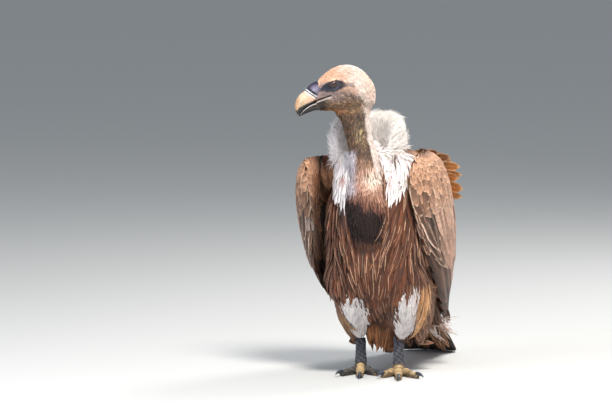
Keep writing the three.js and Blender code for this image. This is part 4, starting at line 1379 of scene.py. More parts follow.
bpy.context.view_layer.objects.active = skin
skin.select_set(True)
skin.data.uv_layers.new(name="OFBake")
bpy.ops.object.mode_set(mode="EDIT")
bpy.ops.mesh.select_all(action="SELECT")
bpy.ops.uv.smart_project(angle_limit=math.radians(66), island_margin=0.001)
bpy.ops.object.mode_set(mode="OBJECT")
bakeCorners = np.empty(len(skin.data.loops) * 2, np.float32)
skin.data.uv_layers["OFBake"].uv.foreach_get("vector", bakeCorners)
bakeCorners = bakeCorners.reshape(-1, 3, 2)
print("skin unwrapped")


def jitter(count, low, high, seed):
    return np.random.default_rng(seed).uniform(low, high, count)


def rising(spine, up, lift, power=0.8, base=0.3):  # lifts a spine off the skin towards its tip
    along = np.linspace(0, 1, spine.shape[1])
    return spine + up * (base + lift[:, None] * along[None] ** power)[..., None]


# ---- feathers of the trunk, rump, vent, trousers and upper arms ------------------------------------------
trunkFeathers = {"spacing": 10.5, "breast": 66.0, "back": 46.0, "width": 11.0, "lift": 7.0}


def trunkAim(points):
    x, y, z = points.T
    front = ease(-10, -60, y)
    inward = -np.clip((x + 2) / 70, -1, 1) * (0.1 + 0.4 * ease(230, 300, z))
    frontAim = np.stack([inward, 0 * x, -np.ones_like(x)], -1)
    backAim = np.stack([0 * x, np.full_like(x, 0.5), -np.ones_like(x)], -1)
    return unit(mix(backAim, frontAim, front))


thighDown = np.maximum(*(bandShare(shaken(faceCentres, 3, 75), b, 3.0) for b in thighBands)) > 0.5
thighDown &= (faceCentres[:, 1] < 10) & facesOf("thigh", "trousers", "trunk")
trunkFaces = facesOf("trunk", "rump", "vent", "trousers", "upper_arm", "thigh") & ~thighDown
white = whiteShare(faceCentres) > 0.5
roots = spread(trunkFaces & ~white, trunkFeathers["spacing"], 3)
x, y, z = roots.T
front = ease(-10, -60, y)
count = len(roots)
low = ease(250, 180, z)
length = mix(trunkFeathers["back"], trunkFeathers["breast"], front) * jitter(count, 0.8, 1.15, 11) * (1 - 0.35 * low)
width = trunkFeathers["width"] * jitter(count, 0.8, 1.2, 12) * mix(1.5, 1.0, front)
aims = trunkAim(roots) + 0.08 * np.random.default_rng(5).normal(size=roots.shape)
spine, up = laid(roots, aims, length, 8)
flank = ease(-70, -88, frontPlace(roots)[0]) * ease(165, 215, z) * ease(400, 370, z) * ease(20, 0, y)
spine = rising(spine, up, trunkFeathers["lift"] * jitter(count, 0.4, 1.0, 13) * (1 - 0.6 * low) + 12 * flank, 0.8 - 0.3 * flank.mean())
straight = np.linalg.norm(spine[:, -1] - spine[:, 0], axis=1) > 0.86 * length
straight &= (spine[:, -1, 2] < spine[:, 0, 2]) & (spine[:, :, 2].min(1) > 14)
shade = lumps(roots, 70, 14)
rootTone = mix(tones["deep"], tones["brown"], np.clip(0.25 + 0.3 * shade, 0, 1))
warm = np.clip(0.3 + 0.45 * shade + jitter(count, -0.3, 0.3, 15), 0, 1)
tipTone = mix(tones["brownDark"], tones["brown"], warm)
tipTone = mix(tipTone, linear("#8f6444"), ease(-20, 30, y) * 0.6)
shoulder = ease(380, 410, z) * ease(46, 60, np.abs(x))
tipTone = mix(tipTone, mix(linear("#cf9672"), linear("#eebc98"), jitter(count, 0, 1, 19)), shoulder)
accent = mix(tones["streak"], tones["buff"], jitter(count, 0, 1, 16))
streaks = np.clip(jitter(count, -0.3, 1.5, 17), 0, 1) * ease(30, -40, y) * (1 - 0.6 * low)
rims = np.maximum(0.55 * ease(-20, 30, y), 0.7 * shoulder)
batch = vaneBatch(spine[straight], up[straight], width[straight], "lance", 0.08, rootTone[straight], tipTone[straight],
                  accent[straight], (streaks[straight], rims[straight]), roll=0.12, sway=0.03, seed=18)
fringe = (faceCentres @ acrossWay > 82) & (faceCentres[:, 2] < 195) & (faceCentres[:, 2] > 105)
fringe |= (faceCentres @ acrossWay < -64) & (faceCentres[:, 2] < 142) & (faceCentres[:, 2] > 88)
fringe &= faceCentres[:, 1] < 20
fringeRoots = spread(trunkFaces & fringe, 7.0, 81)
count = len(fringeRoots)
aims = np.tile([-0.05, 0.0, -1.0], (count, 1)) + 0.06 * np.random.default_rng(82).normal(size=(count, 3))
spine, up = laid(fringeRoots, aims, jitter(count, 42, 60, 83), 7)
spine = rising(spine, up, jitter(count, 5, 9, 84))
warm = jitter(count, 0, 1, 85)
# painted shade: fringe feathers on the bird's right side, away from the light, are dimmed to 0.42
shadedSideDim = np.where(fringeRoots[:, 0] < 0, 0.42, 1.0)[:, None]
kept = (spine[:, -1, 2] < spine[:, 0, 2] - 20) & (spine[:, :, 2].min(1) > 30)
fringeBatch = vaneBatch(spine[kept], up[kept], np.full(kept.sum(), 7.0), "lance", 0.08,
                        (mix(linear("#6b3d22"), linear("#a5673a"), warm) * shadedSideDim)[kept], (mix(linear("#c98a54"), linear("#e2b484"), warm) * shadedSideDim)[kept],
                        (mix(linear("#d99c62"), linear("#efcfa6"), warm) * shadedSideDim**0.5)[kept], (0.7, 0.3), roll=0.15, sway=0.04, seed=86)
whiteRoots = spread(trunkFaces & white, 4.2, 61)
count = len(whiteRoots)
aims = trunkAim(whiteRoots) + 0.14 * np.random.default_rng(62).normal(size=whiteRoots.shape)
spine, up = laid(whiteRoots, aims, jitter(count, 20, 34, 63), 6)
spine = rising(spine, up, jitter(count, 2.0, 6.0, 64))
tone = mix(tones["white"], tones["lilac"], np.clip(0.4 + 0.6 * lumps(whiteRoots, 18, 65), 0, 1))
across, high = frontPlace(whiteRoots)
pink = bump(np.minimum(np.hypot((across + 71) * 0.9, high - 398), np.hypot(across - 23, (high - 397) * 1.6)), 10)
dark = bump(np.hypot((across - 27) * 1.3, high - 436), 13)
tone = mix(tone, linear("#4a2c1e"), dark)
tone = mix(tone, tones["skinPink"], pink * 0.8)
# painted shade: each down tuft is darker at its root
downBatch = vaneBatch(spine, up, jitter(count, 2.6, 4.4, 66), "lance", 0.14, tone * 0.9, tone, tone, (0, 0),
                      roll=0.3, sway=0.06, seed=67)
rng = np.random.default_rng(93)
count = 72
begin = np.stack([rng.uniform(-34, 24, count), rng.uniform(8, 62, count), rng.uniform(100, 112, count)], -1)
way = np.stack([-(begin[:, 0] + 3) * 0.008, np.full(count, -0.05), np.full(count, -1.0)], -1)
way = unit(way + 0.07 * rng.normal(size=(count, 3)))
spine = begin[:, None] + way[:, None] * (np.linspace(0, 1, 6)[None] * rng.uniform(38, 66, count)[:, None])[..., None]
warm = rng.random(count)
ventBatch = vaneBatch(spine, np.tile([0, -1.0, 0], (count, 6, 1)), rng.uniform(9, 13, count), "lance", 0.08,
                      mix(linear("#3a2115"), linear("#5a3622"), warm), mix(linear("#6d3f24"), linear("#96592f"), warm),
                      np.tile(linear("#c08a58"), (count, 1)), (0.6, 0.2), roll=0.3, sway=0.06, seed=94)
coatPiece("body_feathers", [batch, fringeBatch, ventBatch], contourFeathers)
coatPiece("chest_down", [downBatch], softDown)

# ---- crop, thighs and ruff ----------------------------------------------------------------------------------
cropFaces = facesOf("crop") | (facesOf("neck_lower") & (faceCentres[:, 2] < 424) & (faceCentres[:, 1] < -60))
roots = spread(cropFaces, 3.9, 21)
aims = np.tile([0.0, 0, -1], (len(roots), 1)) + 0.08 * np.random.default_rng(22).normal(size=roots.shape)
length = jitter(len(roots), 11, 16, 23)
spine, up = laid(roots, aims, length, 4)
spine = rising(spine, up, jitter(len(roots), 2.0, 4.0, 24))
# the crop's colours carry its painted highlights; painted shade makes each tuft darker at its root
tone = cropTint(roots) * jitter(len(roots), 0.85, 1.15, 28)[:, None]
batch = vaneBatch(spine, up, np.full(len(roots), 3.6), "lance", 0.12, tone * 0.85, tone, tone * 1.2, (0.3, 0), roll=0.3, seed=27)
coatPiece("crop_feathers", [batch], velvet)

roots = spread(thighDown, 2.5, 31)
aims = np.tile([0.0, 0.1, -1], (len(roots), 1)) + 0.15 * np.random.default_rng(32).normal(size=roots.shape)
spine, up = laid(roots, aims, jitter(len(roots), 11, 17, 33), 4)
spine = rising(spine, up, jitter(len(roots), 1.2, 3.6, 34))
tone = mix(tones["white"], tones["lilac"], np.clip(0.25 + 0.4 * lumps(roots, 25, 35), 0, 1))
tone = tone * (1.04 + 0.06 * np.sin(roots[:, 2] / 1.4 + 2 * lumps(roots, 20, 40)))[:, None]
amber = ease(66, 80, frontPlace(roots)[0] + 6 * lumps(roots, 15, 37)) * jitter(len(roots), 0, 1, 38)
tone = mix(tone, linear("#d08c58"), amber)
# painted shade: each down tuft is darker at its root
batch = vaneBatch(spine, up, jitter(len(roots), 1.2, 2.1, 39), "lance", 0.14, tone * 0.95, tone, tone, (0, 0), roll=0.3, seed=36)
coatPiece("thigh_down", [batch], softDown)

ruffSizes = {"spacing": 2.45, "short": 11.0, "long": 19.0, "lift": 7.0}
roots = spread(facesOf("ruff"), ruffSizes["spacing"], 41)
count = len(roots)
outward = unit((roots - np.array([-18, -50, 0])) * [1, 1, 0])
high = ease(420, 480, roots[:, 2])
aims = unit(outward * 0.6 + np.array([0, 0, 1.0]) * (high * 2.0 - 1.1)[:, None]
            + 0.16 * np.random.default_rng(42).normal(size=roots.shape))
length = jitter(count, ruffSizes["short"], ruffSizes["long"], 43)
spine, up = laid(roots, aims, length, 5)
spine = rising(spine, up, ruffSizes["lift"] * jitter(count, 0.5, 1.5, 44), 1.1)
tone = mix(tones["white"], tones["lilac"], ease(-40, -80, roots[:, 0]) * 0.3) * 1.04
tone = mix(tone, tones["cream"], ease(440, 410, roots[:, 2]) * 0.8)
# painted shade: each down tuft is darker at its root
batch = vaneBatch(spine, up, jitter(count, 0.9, 1.8, 45), "lance", 0.2, tone * 0.96, tone, tone, (0, 0), roll=0.3,
                  sway=0.08, seed=46)
spikeRoots = spread(facesOf("ruff"), 5.0, 47)
count = len(spikeRoots)
outward = unit((spikeRoots - np.array([-18, -30, 440])) * [1, 1, 1.0])
aims = unit(outward + np.array([0, 0, 0.2]) + 0.25 * np.random.default_rng(48).normal(size=spikeRoots.shape))
spine, up = laid(spikeRoots, aims, jitter(count, 13, 22, 49), 5)
spine = rising(spine, up, jitter(count, 9, 17, 50), 0.9)
tone = mix(tones["white"], tones["lilac"], ease(-40, -80, spikeRoots[:, 0]) * 0.4)
spikes = vaneBatch(spine, up, jitter(count, 0.8, 1.5, 45), "lance", 0.3, tone, tone, tone, (0, 0), roll=0.3, sway=0.1, seed=58)
coatPiece("ruff_down", [batch, spikes], softDown)

# ---- down of the head and neck ---------------------------------------------------------------------------------
headFacesHere = facesOf("head", "neck")
local = toHead(faceCentres)
eyeFar = np.minimum(eyeDistance(local, 1), eyeDistance(local, -1))
mouthFar = lineDistance(local * [0, 1, 1], (mouthCurve + [0, 0, -1.8]) * [0, 1, 1])[0]
bare = (eyeFar < 12.1) | (local[:, 1] < -62) | ((mouthFar < 3.8) & (local[:, 1] < -36))
gap = 1.5 + 0.5 * ease(480, 430, faceCentres[:, 2])
roots = spread(headFacesHere & ~bare & ~cropFaces, gap, 51)
local = toHead(roots)
inHead = np.maximum(ease(-46, -34, local[:, 2]), ease(-30, -40, local[:, 1]))
backward = np.tile([0, 1.0, -0.25], (len(roots), 1)) + np.outer(ease(-10, 30, local[:, 1]), [0, -0.3, -1.2])
aims = unit(mix(np.tile([0.0, 0, -1], (len(roots), 1)), backward @ turnMatrix.T, inHead))
aims = aims + 0.22 * np.random.default_rng(52).normal(size=roots.shape)
length = mix(6.5, mix(3.4, 5.6, ease(-50, 0, local[:, 1])), inHead) * jitter(len(roots), 0.75, 1.25, 53)
spine, up = laid(roots, aims, length, 3)
spine = rising(spine, up, mix(1.7, mix(0.7, 1.3, ease(-50, 0, local[:, 1])), inHead) * jitter(len(roots), 0.6, 1.3, 54), base=0.1)
speckle = mix(0.22, 0.5, ease(10, -20, toHead(roots)[:, 2]) * ease(0.75, 0.35, skinTint(roots).max(1)))
tone = skinTint(roots) * (1 + speckle * np.random.default_rng(55).choice([-1.1, -0.4, 0.2, 1.3], len(roots)))[:, None]
mottled = ease(14, -6, local[:, 2]) * ease(0.8, 0.45, skinTint(roots).max(1)) * ease(-56, -44, local[:, 1])
tone = tone * np.clip(1 + 1.7 * mottled * (lumps(roots, 4.2, 59) - 0.05), 0.25, 2.4)[:, None]
# painted shade: each down tuft is darker at its root than at its tip
batch = vaneBatch(spine, up, jitter(len(roots), 0.65, 1.05, 56), "lance", 0.25, tone * 0.85, tone * 1.08, tone, (0, 0), roll=0.3, seed=57)
coatPiece("head_down", [batch], softDown)

# ---- wings: rows of coverts over the secondaries and primaries --------------------------------------------
wingSection = np.concatenate([-np.linspace(1, 0, 25) ** 1.6, np.linspace(0, 1, 25)[1:] ** 1.6])
featherLayers = {
    # where the rows run from and to along the wing (0 wrist, 1 tip) and across it (0 lead, 1 trail, inner face < 0);
    # row step, gap, length, width, height at root and tip
    "primaries": (0.56, 0.62, 0.02, 0.42, 40, 10, 275, 23, 0.2, 0.8),
    "secondaries": (0.47, 0.60, 0.10, 0.95, 42, 13, 205, 30, 0.6, 2.0),
    "tertials": (0.36, 0.44, 0.30, 0.95, 34, 17, 150, 30, 1.4, 3.4),
    "greater": (0.24, 0.42, 0.03, 0.95, 38, 15, 104, 26, 1.8, 5.0),
    "median": (0.15, 0.25, -0.02, 0.95, 20, 12, 44, 19, 1.6, 4.4),
    "lesser": (0.0, 0.18, -0.06, 0.97, 10, 8.5, 20, 12, 1.2, 4.0),
    "margin": (0.16, 0.44, -0.05, 0.05, 15, 7, 32, 10, 1.0, 3.0),
    "lowMargin": (0.44, 0.76, -0.05, 0.06, 26, 8, 60, 10, 0.8, 2.4),
    "innerPrimaries": (0.56, 0.60, -0.55, -0.04, 40, 11, 265, 22, 0.2, 0.6),
    "innerSecondaries": (0.46, 0.58, -0.95, -0.08, 40, 13, 190, 28, 0.4, 1.2),
    "underGreater": (0.33, 0.44, -0.95, -0.05, 34, 13, 74, 20, 0.8, 2.2),
    "underLesser": (0.0, 0.36, -0.95, -0.05, 14, 11, 27, 14, 0.8, 2.8),
}


def gridAt(grid, t, s):
    row, col = np.clip(t, 0, 2) * (grid.shape[0] - 1), np.interp(s, wingSection, np.arange(len(wingSection)))
    i, j = np.clip(row.astype(int), 0, grid.shape[0] - 2), np.clip(col.astype(int), 0, grid.shape[1] - 2)
    f, g = (row - i)[:, None], (col - j)[:, None]
    low = grid[i, j] * (1 - g) + grid[i, j + 1] * g
    return low * (1 - f) + (grid[i + 1, j] * (1 - g) + grid[i + 1, j + 1] * g) * f


def wingPath(grid, normals, t, s, heading, length, stations):
    spine, up = np.empty((len(t), stations, 3)), np.empty((len(t), stations, 3))
    step = length / (stations - 1)
    for k in range(stations):
        here = gridAt(grid, t, s)
        spine[:, k], up[:, k] = here, unit(gridAt(normals, np.minimum(t, 1), s))
        perT = np.linalg.norm(gridAt(grid, t + 0.01, s) - here, axis=1) / 0.01
        perS = np.linalg.norm(gridAt(grid, t, np.clip(s + 0.02, -1, 1)) - gridAt(grid, t, np.clip(s - 0.02, -1, 1)), axis=1) / 0.04
        t = t + np.cos(heading) * step / np.maximum(perT, 80)
        s = np.clip(s + np.sin(heading) * step / np.maximum(perS, 40), -0.97, 0.97)
    return spine, up


def wingTones(kind, roots, t, s, sign, seed):  # root, tip and edge colours with the strength of shaft and rim
    count = len(roots)
    chance = jitter(count, 0, 1, seed)
    patch = lumps(roots, 45, seed + 1)
    each = lambda first, last, share: mix(linear(first), linear(last), np.clip(share, 0, 1))
    sunny = ease(0.30, 0.14, t + 0.05 * patch) * ease(-0.97, -0.75, s)
    if kind.startswith("under"):
        root = mix(each("#1d110c", "#4a2c1c", chance), linear("#6a452f"), sunny)
        tip = mix(each("#4a2b1b", "#a9683d", chance + 0.5 * patch), each("#b17a55", "#dba27a", chance), sunny)
        edge = mix(linear("#c48a58"), linear("#e8dcd4"), chance > 0.95)
        if sign < 0:
            across, high = frontPlace(roots)
            # painted shadow: near-black where the wing's inner face meets the body
            gap = ease(-126, -116, across)
            pale = ease(402, 418, high) * ease(-112, -106, across)
            root, tip = mix(root, linear("#140c09"), gap), mix(tip, linear("#1c110c"), gap)
            root, tip = mix(root, linear("#8d5b40"), pale), mix(tip, linear("#d49a76"), pale)
            return root, tip, edge, (0.3 * chance, 0.8 * (chance > 0.4) * (1 - gap))
        return root, tip, edge, (0.3 * chance, 0.8 * (chance > 0.4))
    if kind in ("primaries", "innerPrimaries", "innerSecondaries"):
        root, tip = each("#1d1513", "#2b1f1b", chance), each("#1f1614", "#372720", chance)
        outer = ease(0.35, 0.6, s)
        return mix(root, linear("#382923"), outer), mix(tip, linear("#4d392f"), outer), each("#7b5b4a", "#9a7a68", chance), (0.3, 0.4)
    if kind == "lowMargin":
        pale = (sign > 0) * 0.5
        return each("#2a1b15", "#40291e", chance), each("#4a3024", "#7a5442", chance * (1 - pale)), each("#8a6450", "#b48a70", chance), (0.15, 0.25)
    outer = ease(0.09, 0.19, s + 0.05 * patch)
    if kind == "secondaries":
        root = mix(each("#241813", "#3a2922", chance), linear("#8a6656"), outer * ease(0.6, 0.5, t))
        tip = mix(each("#2b1d17", "#4a342a", chance), each("#7a5a4c", "#b08a78", chance), ease(0.55, 0.8, s))
        return root, tip, each("#7d5b49", "#b8927c", chance), (0.4, 0.7)
    pale = 0.55 + 0.5 * patch + 0.3 * (chance - 0.5)
    if kind in ("greater", "tertials"):
        root = mix(each("#20130e", "#38231a", chance), each("#6d4a3a", "#9a7360", chance), outer)
        tip = mix(each("#3c261c", "#664534", pale), each("#b98f7a", "#dcb39d", pale), outer)
        return root, tip, each("#cfa78e", "#edd0bd", chance), (0.3, 0.9 - 0.5 * outer)
    root = mix(each("#42291c", "#80573f", chance), linear("#2c1b15"), 0.7 * (chance > 0.62))
    tip = mix(each("#9c7460", "#d3a88e", pale), linear("#e0a67c"), sunny * (0.4 if sign > 0 else 0.6))
    tip = mix(tip, each("#8d6552", "#a87d68", chance), (kind == "margin") * (sign < 0) * 1.0)
    tip = mix(tip, each("#5a3b2c", "#84604c", pale), ease(0.12, 0.02, s) * ease(0.14, 0.24, t) * (sign > 0))
    across, high = frontPlace(roots)
    if sign > 0:
        dark = bump(np.hypot(across - 85, (high - 384) * 0.8), 26) * (chance > 0.35)
        root, tip = mix(root, linear("#1d120d"), dark), mix(tip, linear("#6b4836"), dark * 0.8)
    else:
        shade = ease(0.12, 0.22, t + 0.05 * patch) * 0.75
        root, tip = mix(root, linear("#22150f"), shade), mix(tip, each("#4a2f21", "#7c5238", chance), shade)
        tip = mix(tip, linear("#efe6e4"), bump(np.hypot(across + 137, (high - 314) * 0.6), 9))
    return root, tip, each("#d9ab88", "#ecccb4", chance), (0.0, 0.85 - 0.45 * (sign < 0))


for sign, sideName in ((1, "left"), (-1, "right")):
    grid = wingGrid(sign, 90, wingSection, drawIn=4.2)
    normals = unit(np.cross(np.gradient(grid, axis=0), np.gradient(grid, axis=1)))
    if (normals[:, 35:45] @ np.array([sign, 0, 0.1])).mean() < 0:
        normals = -normals
    batches = {"coverts": [], "flight": []}
    for index, (kind, sizes) in enumerate(featherLayers.items()):
        tFirst, tLast, sFirst, sLast, rowStep, gap, long, wide, low, high = sizes
        seed = 200 + 10 * index + (0 if sign > 0 else 5)
        rng = np.random.default_rng(seed)
        rows = max(int((tLast - tFirst) * 640 / rowStep), 1) + 1
        t, s = [], []
        for r, tRow in enumerate(np.linspace(tFirst, tLast, rows)):
            line = np.linspace(sFirst, sLast, 60)
            points = gridAt(grid, np.full(60, tRow), line)
            run = np.append(0, np.cumsum(np.linalg.norm(np.diff(points, axis=0), axis=1)))
            places = np.arange(gap * (0.25 + 0.5 * (r % 2)), run[-1], gap)
            places = places + rng.normal(size=len(places)) * gap * 0.12
            s.append(np.interp(places, run, line))
            t.append(np.full(len(places), tRow) + rng.normal(size=len(places)) * rowStep * 0.12 / 640)
        t, s = np.clip(np.concatenate(t), 0, 1), np.concatenate(s)
        count = len(t)
        length = long * rng.uniform(0.86, 1.1, count)
        tips = t + length / 640
        length = length * np.where(tips > 0.985, np.clip((0.985 - t) / (tips - t), 0.2, 1), 1)
        heading = rng.normal(size=count) * 0.05 + 0.12 * np.sign(s) * ease(0.25, 0.0, np.abs(s))
        stations = 7 if long < 60 else 11
        spine, up = wingPath(grid, normals, t, s, heading, length, stations)
        roots = spine[:, 0].copy()
        spine = rising(spine, up, (high - low) * rng.uniform(0.7, 1.2, count), 0.8, low)
        root, tip, accent, mark = wingTones(kind, roots, t, s, sign, seed)
        shape = "round" if long < 60 else "point"
        batch = vaneBatch(spine, up, wide * rng.uniform(0.85, 1.12, count), shape, 0.05, root, tip, accent, mark,
                          roll=0.1, sway=0.015, camber=0.2, seed=seed + 2,
                          bakeSize=(0.003, 0.003) if long < 60 else (0.005, 0.012))
        batches["coverts" if long < 100 else "flight"].append(batch)
    coatPiece(f"wing_coverts_feathers_{sideName}", batches["coverts"], contourFeathers)
    coatPiece(f"wing_flight_feathers_{sideName}", batches["flight"], flightFeathers)

# ---- scapulars that fan out behind the wings ---------------------------------------------------------------
scapularRows = {
    "left": [
        [72, 50, 440, 104, 62, 443, 2, 8],
        [74, 76, 426, 124, 96, 432, 4, 9],
        [76, 96, 408, 139, 118, 407, 5, 10],
        [76, 112, 386, 143, 130, 376, 5, 10],
        [72, 126, 362, 135, 138, 350, 3, 8],
    ],
    "right": [
        [-62, 66, 440, -92, 78, 438, 2, 8],
        [-62, 92, 418, -106, 106, 414, 4, 10],
        [-62, 112, 394, -110, 128, 384, 4, 10],
        [-58, 132, 362, -104, 150, 350, 3, 8],
    ],
}
for sign, sideName in ((1, "left"), (-1, "right")):
    batches = []
    outward = unit([sign * 0.25, 1, 0.6])
    for layer, (count, first, last, wide, lift) in enumerate(((6, -0.2, 1.03, 25, 0.0), (7, -0.4, 0.8, 22, 3.0), (7, -0.7, 0.5, 20, 6.0))):
        rng = np.random.default_rng(400 + layer + 10 * (sign > 0))
        rows = resample(scapularRows[sideName], count)
        lead, trail = rows[:, :3], rows[:, 3:6]
        reach = last * rng.uniform(0.84, 1.08, count)
        v = first + (reach[:, None] - first) * np.linspace(0, 1, 10)[None]
        droop = np.array([0, 0, -4.0]) * (v**2)[..., None]
        bow = (rows[:, 6, None] * 2 * v * (1 - v) + lift)[..., None]
        spine = lead[:, None] + (trail - lead)[:, None] * v[..., None] + outward * bow + droop + rng.normal(size=(count, 1, 3)) * 1.2
        dark = ease(0.34, 0.1, np.linspace(0, 1, count) + 0.1 * layer)
        root = np.tile(linear("#26130c"), (count, 1))
        tip = mix(mix(linear("#b9651f"), linear("#dd8c3c"), rng.random(count)), linear("#5a3422"), dark * 0.85)
        batches.append(vaneBatch(spine, np.broadcast_to(outward, spine.shape), wide * rng.uniform(0.85, 1.15, count), "round", 0.06,
                                 root, tip, np.tile(linear("#edc9a0"), (count, 1)), (0.2, 0.9), roll=0.12, camber=0.3,
                                 sway=0.04, bakeSize=(0.005, 0.012), seed=410 + layer))
    coatPiece(f"scapular_feathers_{sideName}", batches, flightFeathers, (f"scapulars_{sideName}",))

# ---- tail ------------------------------------------------------------------------------------------------------
places = np.linspace(-1, 1, 12)
path = resample(tailRows, 14)
batches = []
side = 1 - (places[:, None] * 0.92) ** 2
middle = np.stack([path[:, 0][None] * places[:, None] * 0.92, np.broadcast_to(path[:, 1], (12, 14)),
                   path[:, 2][None] + side * path[:, 6][None]], -1)
middle[:, :, 1] -= (np.abs(places) ** 2 * 14)[:, None] * np.linspace(0, 1, 14)[None]
half = np.maximum(path[:, 7][None] / 2 * side**0.4 - 0.6, 0.8)
rng = np.random.default_rng(500)
up = np.tile(unit([0, 0.5, 1]), (12, 14, 1))
for under in (0, 1):
    tone = mix(linear("#1f1715"), linear("#33261f"), rng.random(12))
    spine = middle + [0, 0, 1.0] * (half * (1 - 2 * under))[..., None]
    spine[:, :, 2] = np.maximum(spine[:, :, 2], 2.4 - 1.2 * under)
    batches.append(vaneBatch(spine, up, np.full(12, 25.0), "round", 0.04, tone, tone * 0.9,
                             np.tile(linear("#6b4d3b"), (12, 1)), (0.4, 0.5), roll=0.05, camber=0.05,
                             bakeSize=(0.005, 0.012), seed=501 + under))
coatPiece("tail_feathers", batches, flightFeathers)

under = {"rows": 7, "from": 150.0, "to": 318.0, "length": 72.0, "width": 15.0}
rng = np.random.default_rng(520)
starts = np.array([[x, y] for i, y in enumerate(np.linspace(under["from"], under["to"], under["rows"]))
                   for x in np.linspace(-48, 48, 9 - i % 2)])
starts = starts + rng.normal(size=starts.shape) * [2.5, 4]
count = len(starts)
length = under["length"] * rng.uniform(0.75, 1.15, count)
run = starts[:, 1, None] + np.linspace(0, 1, 8)[None] * (length * 0.77)[:, None]
height = np.interp(run, path[:, 1], path[:, 2]) - np.interp(run, path[:, 1], path[:, 7]) / 2
spine = np.stack([starts[:, 0, None] * (1 + 0.12 * np.linspace(0, 1, 8)[None]), run - 4.5, height - 5.0], -1)
spine = spine + np.array([0, -5.0, -4.0]) * np.linspace(0, 1, 8)[None, :, None] ** 2
spine[:, :, 2] = np.maximum(spine[:, :, 2], 4.0)
down = np.tile(unit([0, -0.64, -0.77]), (count, 8, 1))
chance = rng.random(count)
pale = (chance > 0.94)[:, None]
root = np.where(pale, linear("#c9b6b4"), mix(linear("#2b1810"), linear("#553220"), chance))
tip = np.where(pale, linear("#e9dedd"), mix(linear("#5a3622"), linear("#94613c"), chance))
batches = [vaneBatch(spine, down, under["width"] * rng.uniform(0.8, 1.2, count), "lance", 0.06, root, tip,
                     mix(linear("#b57a45"), linear("#d9b08a"), chance), (0.7, 0.5), roll=0.12, sway=0.04, seed=521)]
starts = np.array([[x, y] for i, y in enumerate(np.linspace(160, 262, 6)) for x in np.linspace(-38, 38, 6 + i % 2)])
starts = starts + rng.normal(size=starts.shape) * [2.0, 4]
count = len(starts)
length = rng.uniform(58, 84, count)
run = starts[:, 1, None] + np.linspace(0, 1, 8)[None] * (length * 0.8)[:, None]
half = np.interp(run, path[:, 1], path[:, 7]) / 2
height = np.interp(run, path[:, 1], path[:, 2]) + half + (1 - (starts[:, 0, None] / 52) ** 2) * np.interp(run, path[:, 1], path[:, 6])
spine = np.stack([np.broadcast_to(starts[:, 0, None], run.shape), run, height + 1.5 + 2.5 * np.linspace(0, 1, 8)[None]], -1)
chance = rng.random(count)
tone = mix(linear("#4a2f20"), linear("#7c5236"), chance)
batches.append(vaneBatch(spine, np.tile(unit([0, 0.6, 0.8]), (count, 8, 1)), rng.uniform(19, 26, count), "round", 0.06,
                         tone * 0.7, tone, mix(linear("#a87c58"), linear("#d0ab8a"), chance), (0.3, 0.8), roll=0.1,
                         sway=0.04, seed=523))
count = 16
starts = np.stack([rng.uniform(60, 84, count), rng.uniform(118, 168, count), rng.uniform(120, 150, count)], -1)
way = unit(np.array([0.22, 0.75, -0.85]) + 0.1 * rng.normal(size=(count, 3)))
spine = starts[:, None] + way[:, None] * (np.linspace(0, 1, 7)[None] * rng.uniform(48, 66, count)[:, None])[..., None]
tone = mix(linear("#2a1912"), linear("#5a3a2a"), rng.random(count))
batches.append(vaneBatch(spine, np.tile(unit([0.5, -0.8, -0.4]), (count, 7, 1)), rng.uniform(13, 18, count), "lance", 0.06,
                         tone, tone * 1.2, np.tile(linear("#9a7458"), (count, 1)), (0.4, 0.5), roll=0.15, sway=0.05, seed=524))
count = 46
starts = np.array([76.0, 168, 84]) + rng.normal(size=(count, 3)) * [6, 14, 9]
way = unit(np.array([1.0, 0.15, -0.35]) + 0.32 * rng.normal(size=(count, 3)))
spine = starts[:, None] + way[:, None] * (np.linspace(0, 1, 6)[None] * rng.uniform(20, 36, count)[:, None])[..., None]
spine[:, :, 2] -= 5 * np.linspace(0, 1, 6)[None] ** 2
tone = mix(linear("#b58f80"), linear("#efe2dc"), rng.random(count))
# painted shade: each filament is darker at its root
batches.append(vaneBatch(spine, np.tile(unit([0.2, -1, 0.4]), (count, 6, 1)), rng.uniform(1.2, 2.6, count), "lance", 0.3,
                         tone * 0.7, tone, tone, (0, 0), roll=0.4, sway=0.1, seed=522))
coatPiece("undertail_feathers", batches, contourFeathers)

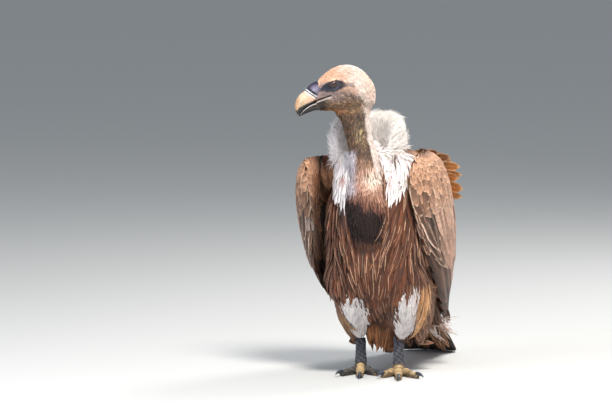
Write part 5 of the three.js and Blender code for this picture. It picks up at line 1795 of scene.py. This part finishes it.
# ---- floor, light and camera -------------------------------------------------------------------------
sceneSizes = {"azimuth": 16.0, "elevation": 5.0, "distance": 9000.0, "lens": 264.706}
a, e = math.radians(sceneSizes["azimuth"]), math.radians(sceneSizes["elevation"])
viewRight = np.array([math.cos(a), math.sin(a), 0])
viewAhead = np.array([-math.sin(a) * math.cos(e), math.cos(a) * math.cos(e), -math.sin(e)])
lookedAt = viewRight * -146.6 + np.cross(viewRight, viewAhead) * 340.0
camera = bpy.data.objects.new("camera", bpy.data.cameras.new("camera"))
bpy.context.scene.collection.objects.link(camera)
camera.location = (lookedAt - viewAhead * sceneSizes["distance"] + origin) / 1000
camera.rotation_mode = "QUATERNION"
camera.rotation_quaternion = Vector(viewAhead).to_track_quat("-Z", "Y")
camera.data.lens = sceneSizes["lens"]
camera.data.sensor_width = 36
camera.data.clip_end = 200
bpy.context.scene.camera = camera

floorMesh = bpy.data.meshes.new("floor")
reach = 40.0
floorMesh.from_pydata([(-reach, -reach, 0), (reach, -reach, 0), (reach, reach, 0), (-reach, reach, 0)], [], [(0, 1, 2, 3)])
floor = bpy.data.objects.new("floor", floorMesh)
bpy.context.scene.collection.objects.link(floor)
floorMaterial, tree, shader = newMaterial("paleFloor", 0.9)
shader.inputs["Base Color"].default_value = (0.62, 0.63, 0.63, 1)
floorMesh.materials.append(floorMaterial)

lights = {  # turn round the bird from straight ahead to its left, height, distance, size, power, colour
    "key": (30, 50, 3.2, 0.9, 135, (1.0, 0.95, 0.88)),
    "fill": (-34, 22, 3.6, 2.4, 58, (0.84, 0.9, 1.0)),
    "back": (150, 42, 3.0, 1.2, 50, (1.0, 0.96, 0.92)),
}
for name, (turn, height, far, size, power, colour) in lights.items():
    lamp = bpy.data.objects.new(name, bpy.data.lights.new(name, "AREA"))
    bpy.context.scene.collection.objects.link(lamp)
    turn, height = math.radians(turn), math.radians(height)
    way = Vector((math.sin(turn) * math.cos(height), -math.cos(turn) * math.cos(height), math.sin(height)))
    lamp.location = way * far + Vector((0, 0, 0.33))
    lamp.rotation_mode = "QUATERNION"
    lamp.rotation_quaternion = (-way).to_track_quat("-Z", "Y")
    lamp.data.shape, lamp.data.size, lamp.data.energy, lamp.data.color = "DISK", size, power, colour
world = bpy.data.worlds.new("studio")
bpy.context.scene.world = world
world.use_nodes = True
world.node_tree.nodes["Background"].inputs["Color"].default_value = (0.80, 0.86, 0.92, 1)
world.node_tree.nodes["Background"].inputs["Strength"].default_value = 0.4
bpy.context.scene.view_settings.view_transform = "Standard"
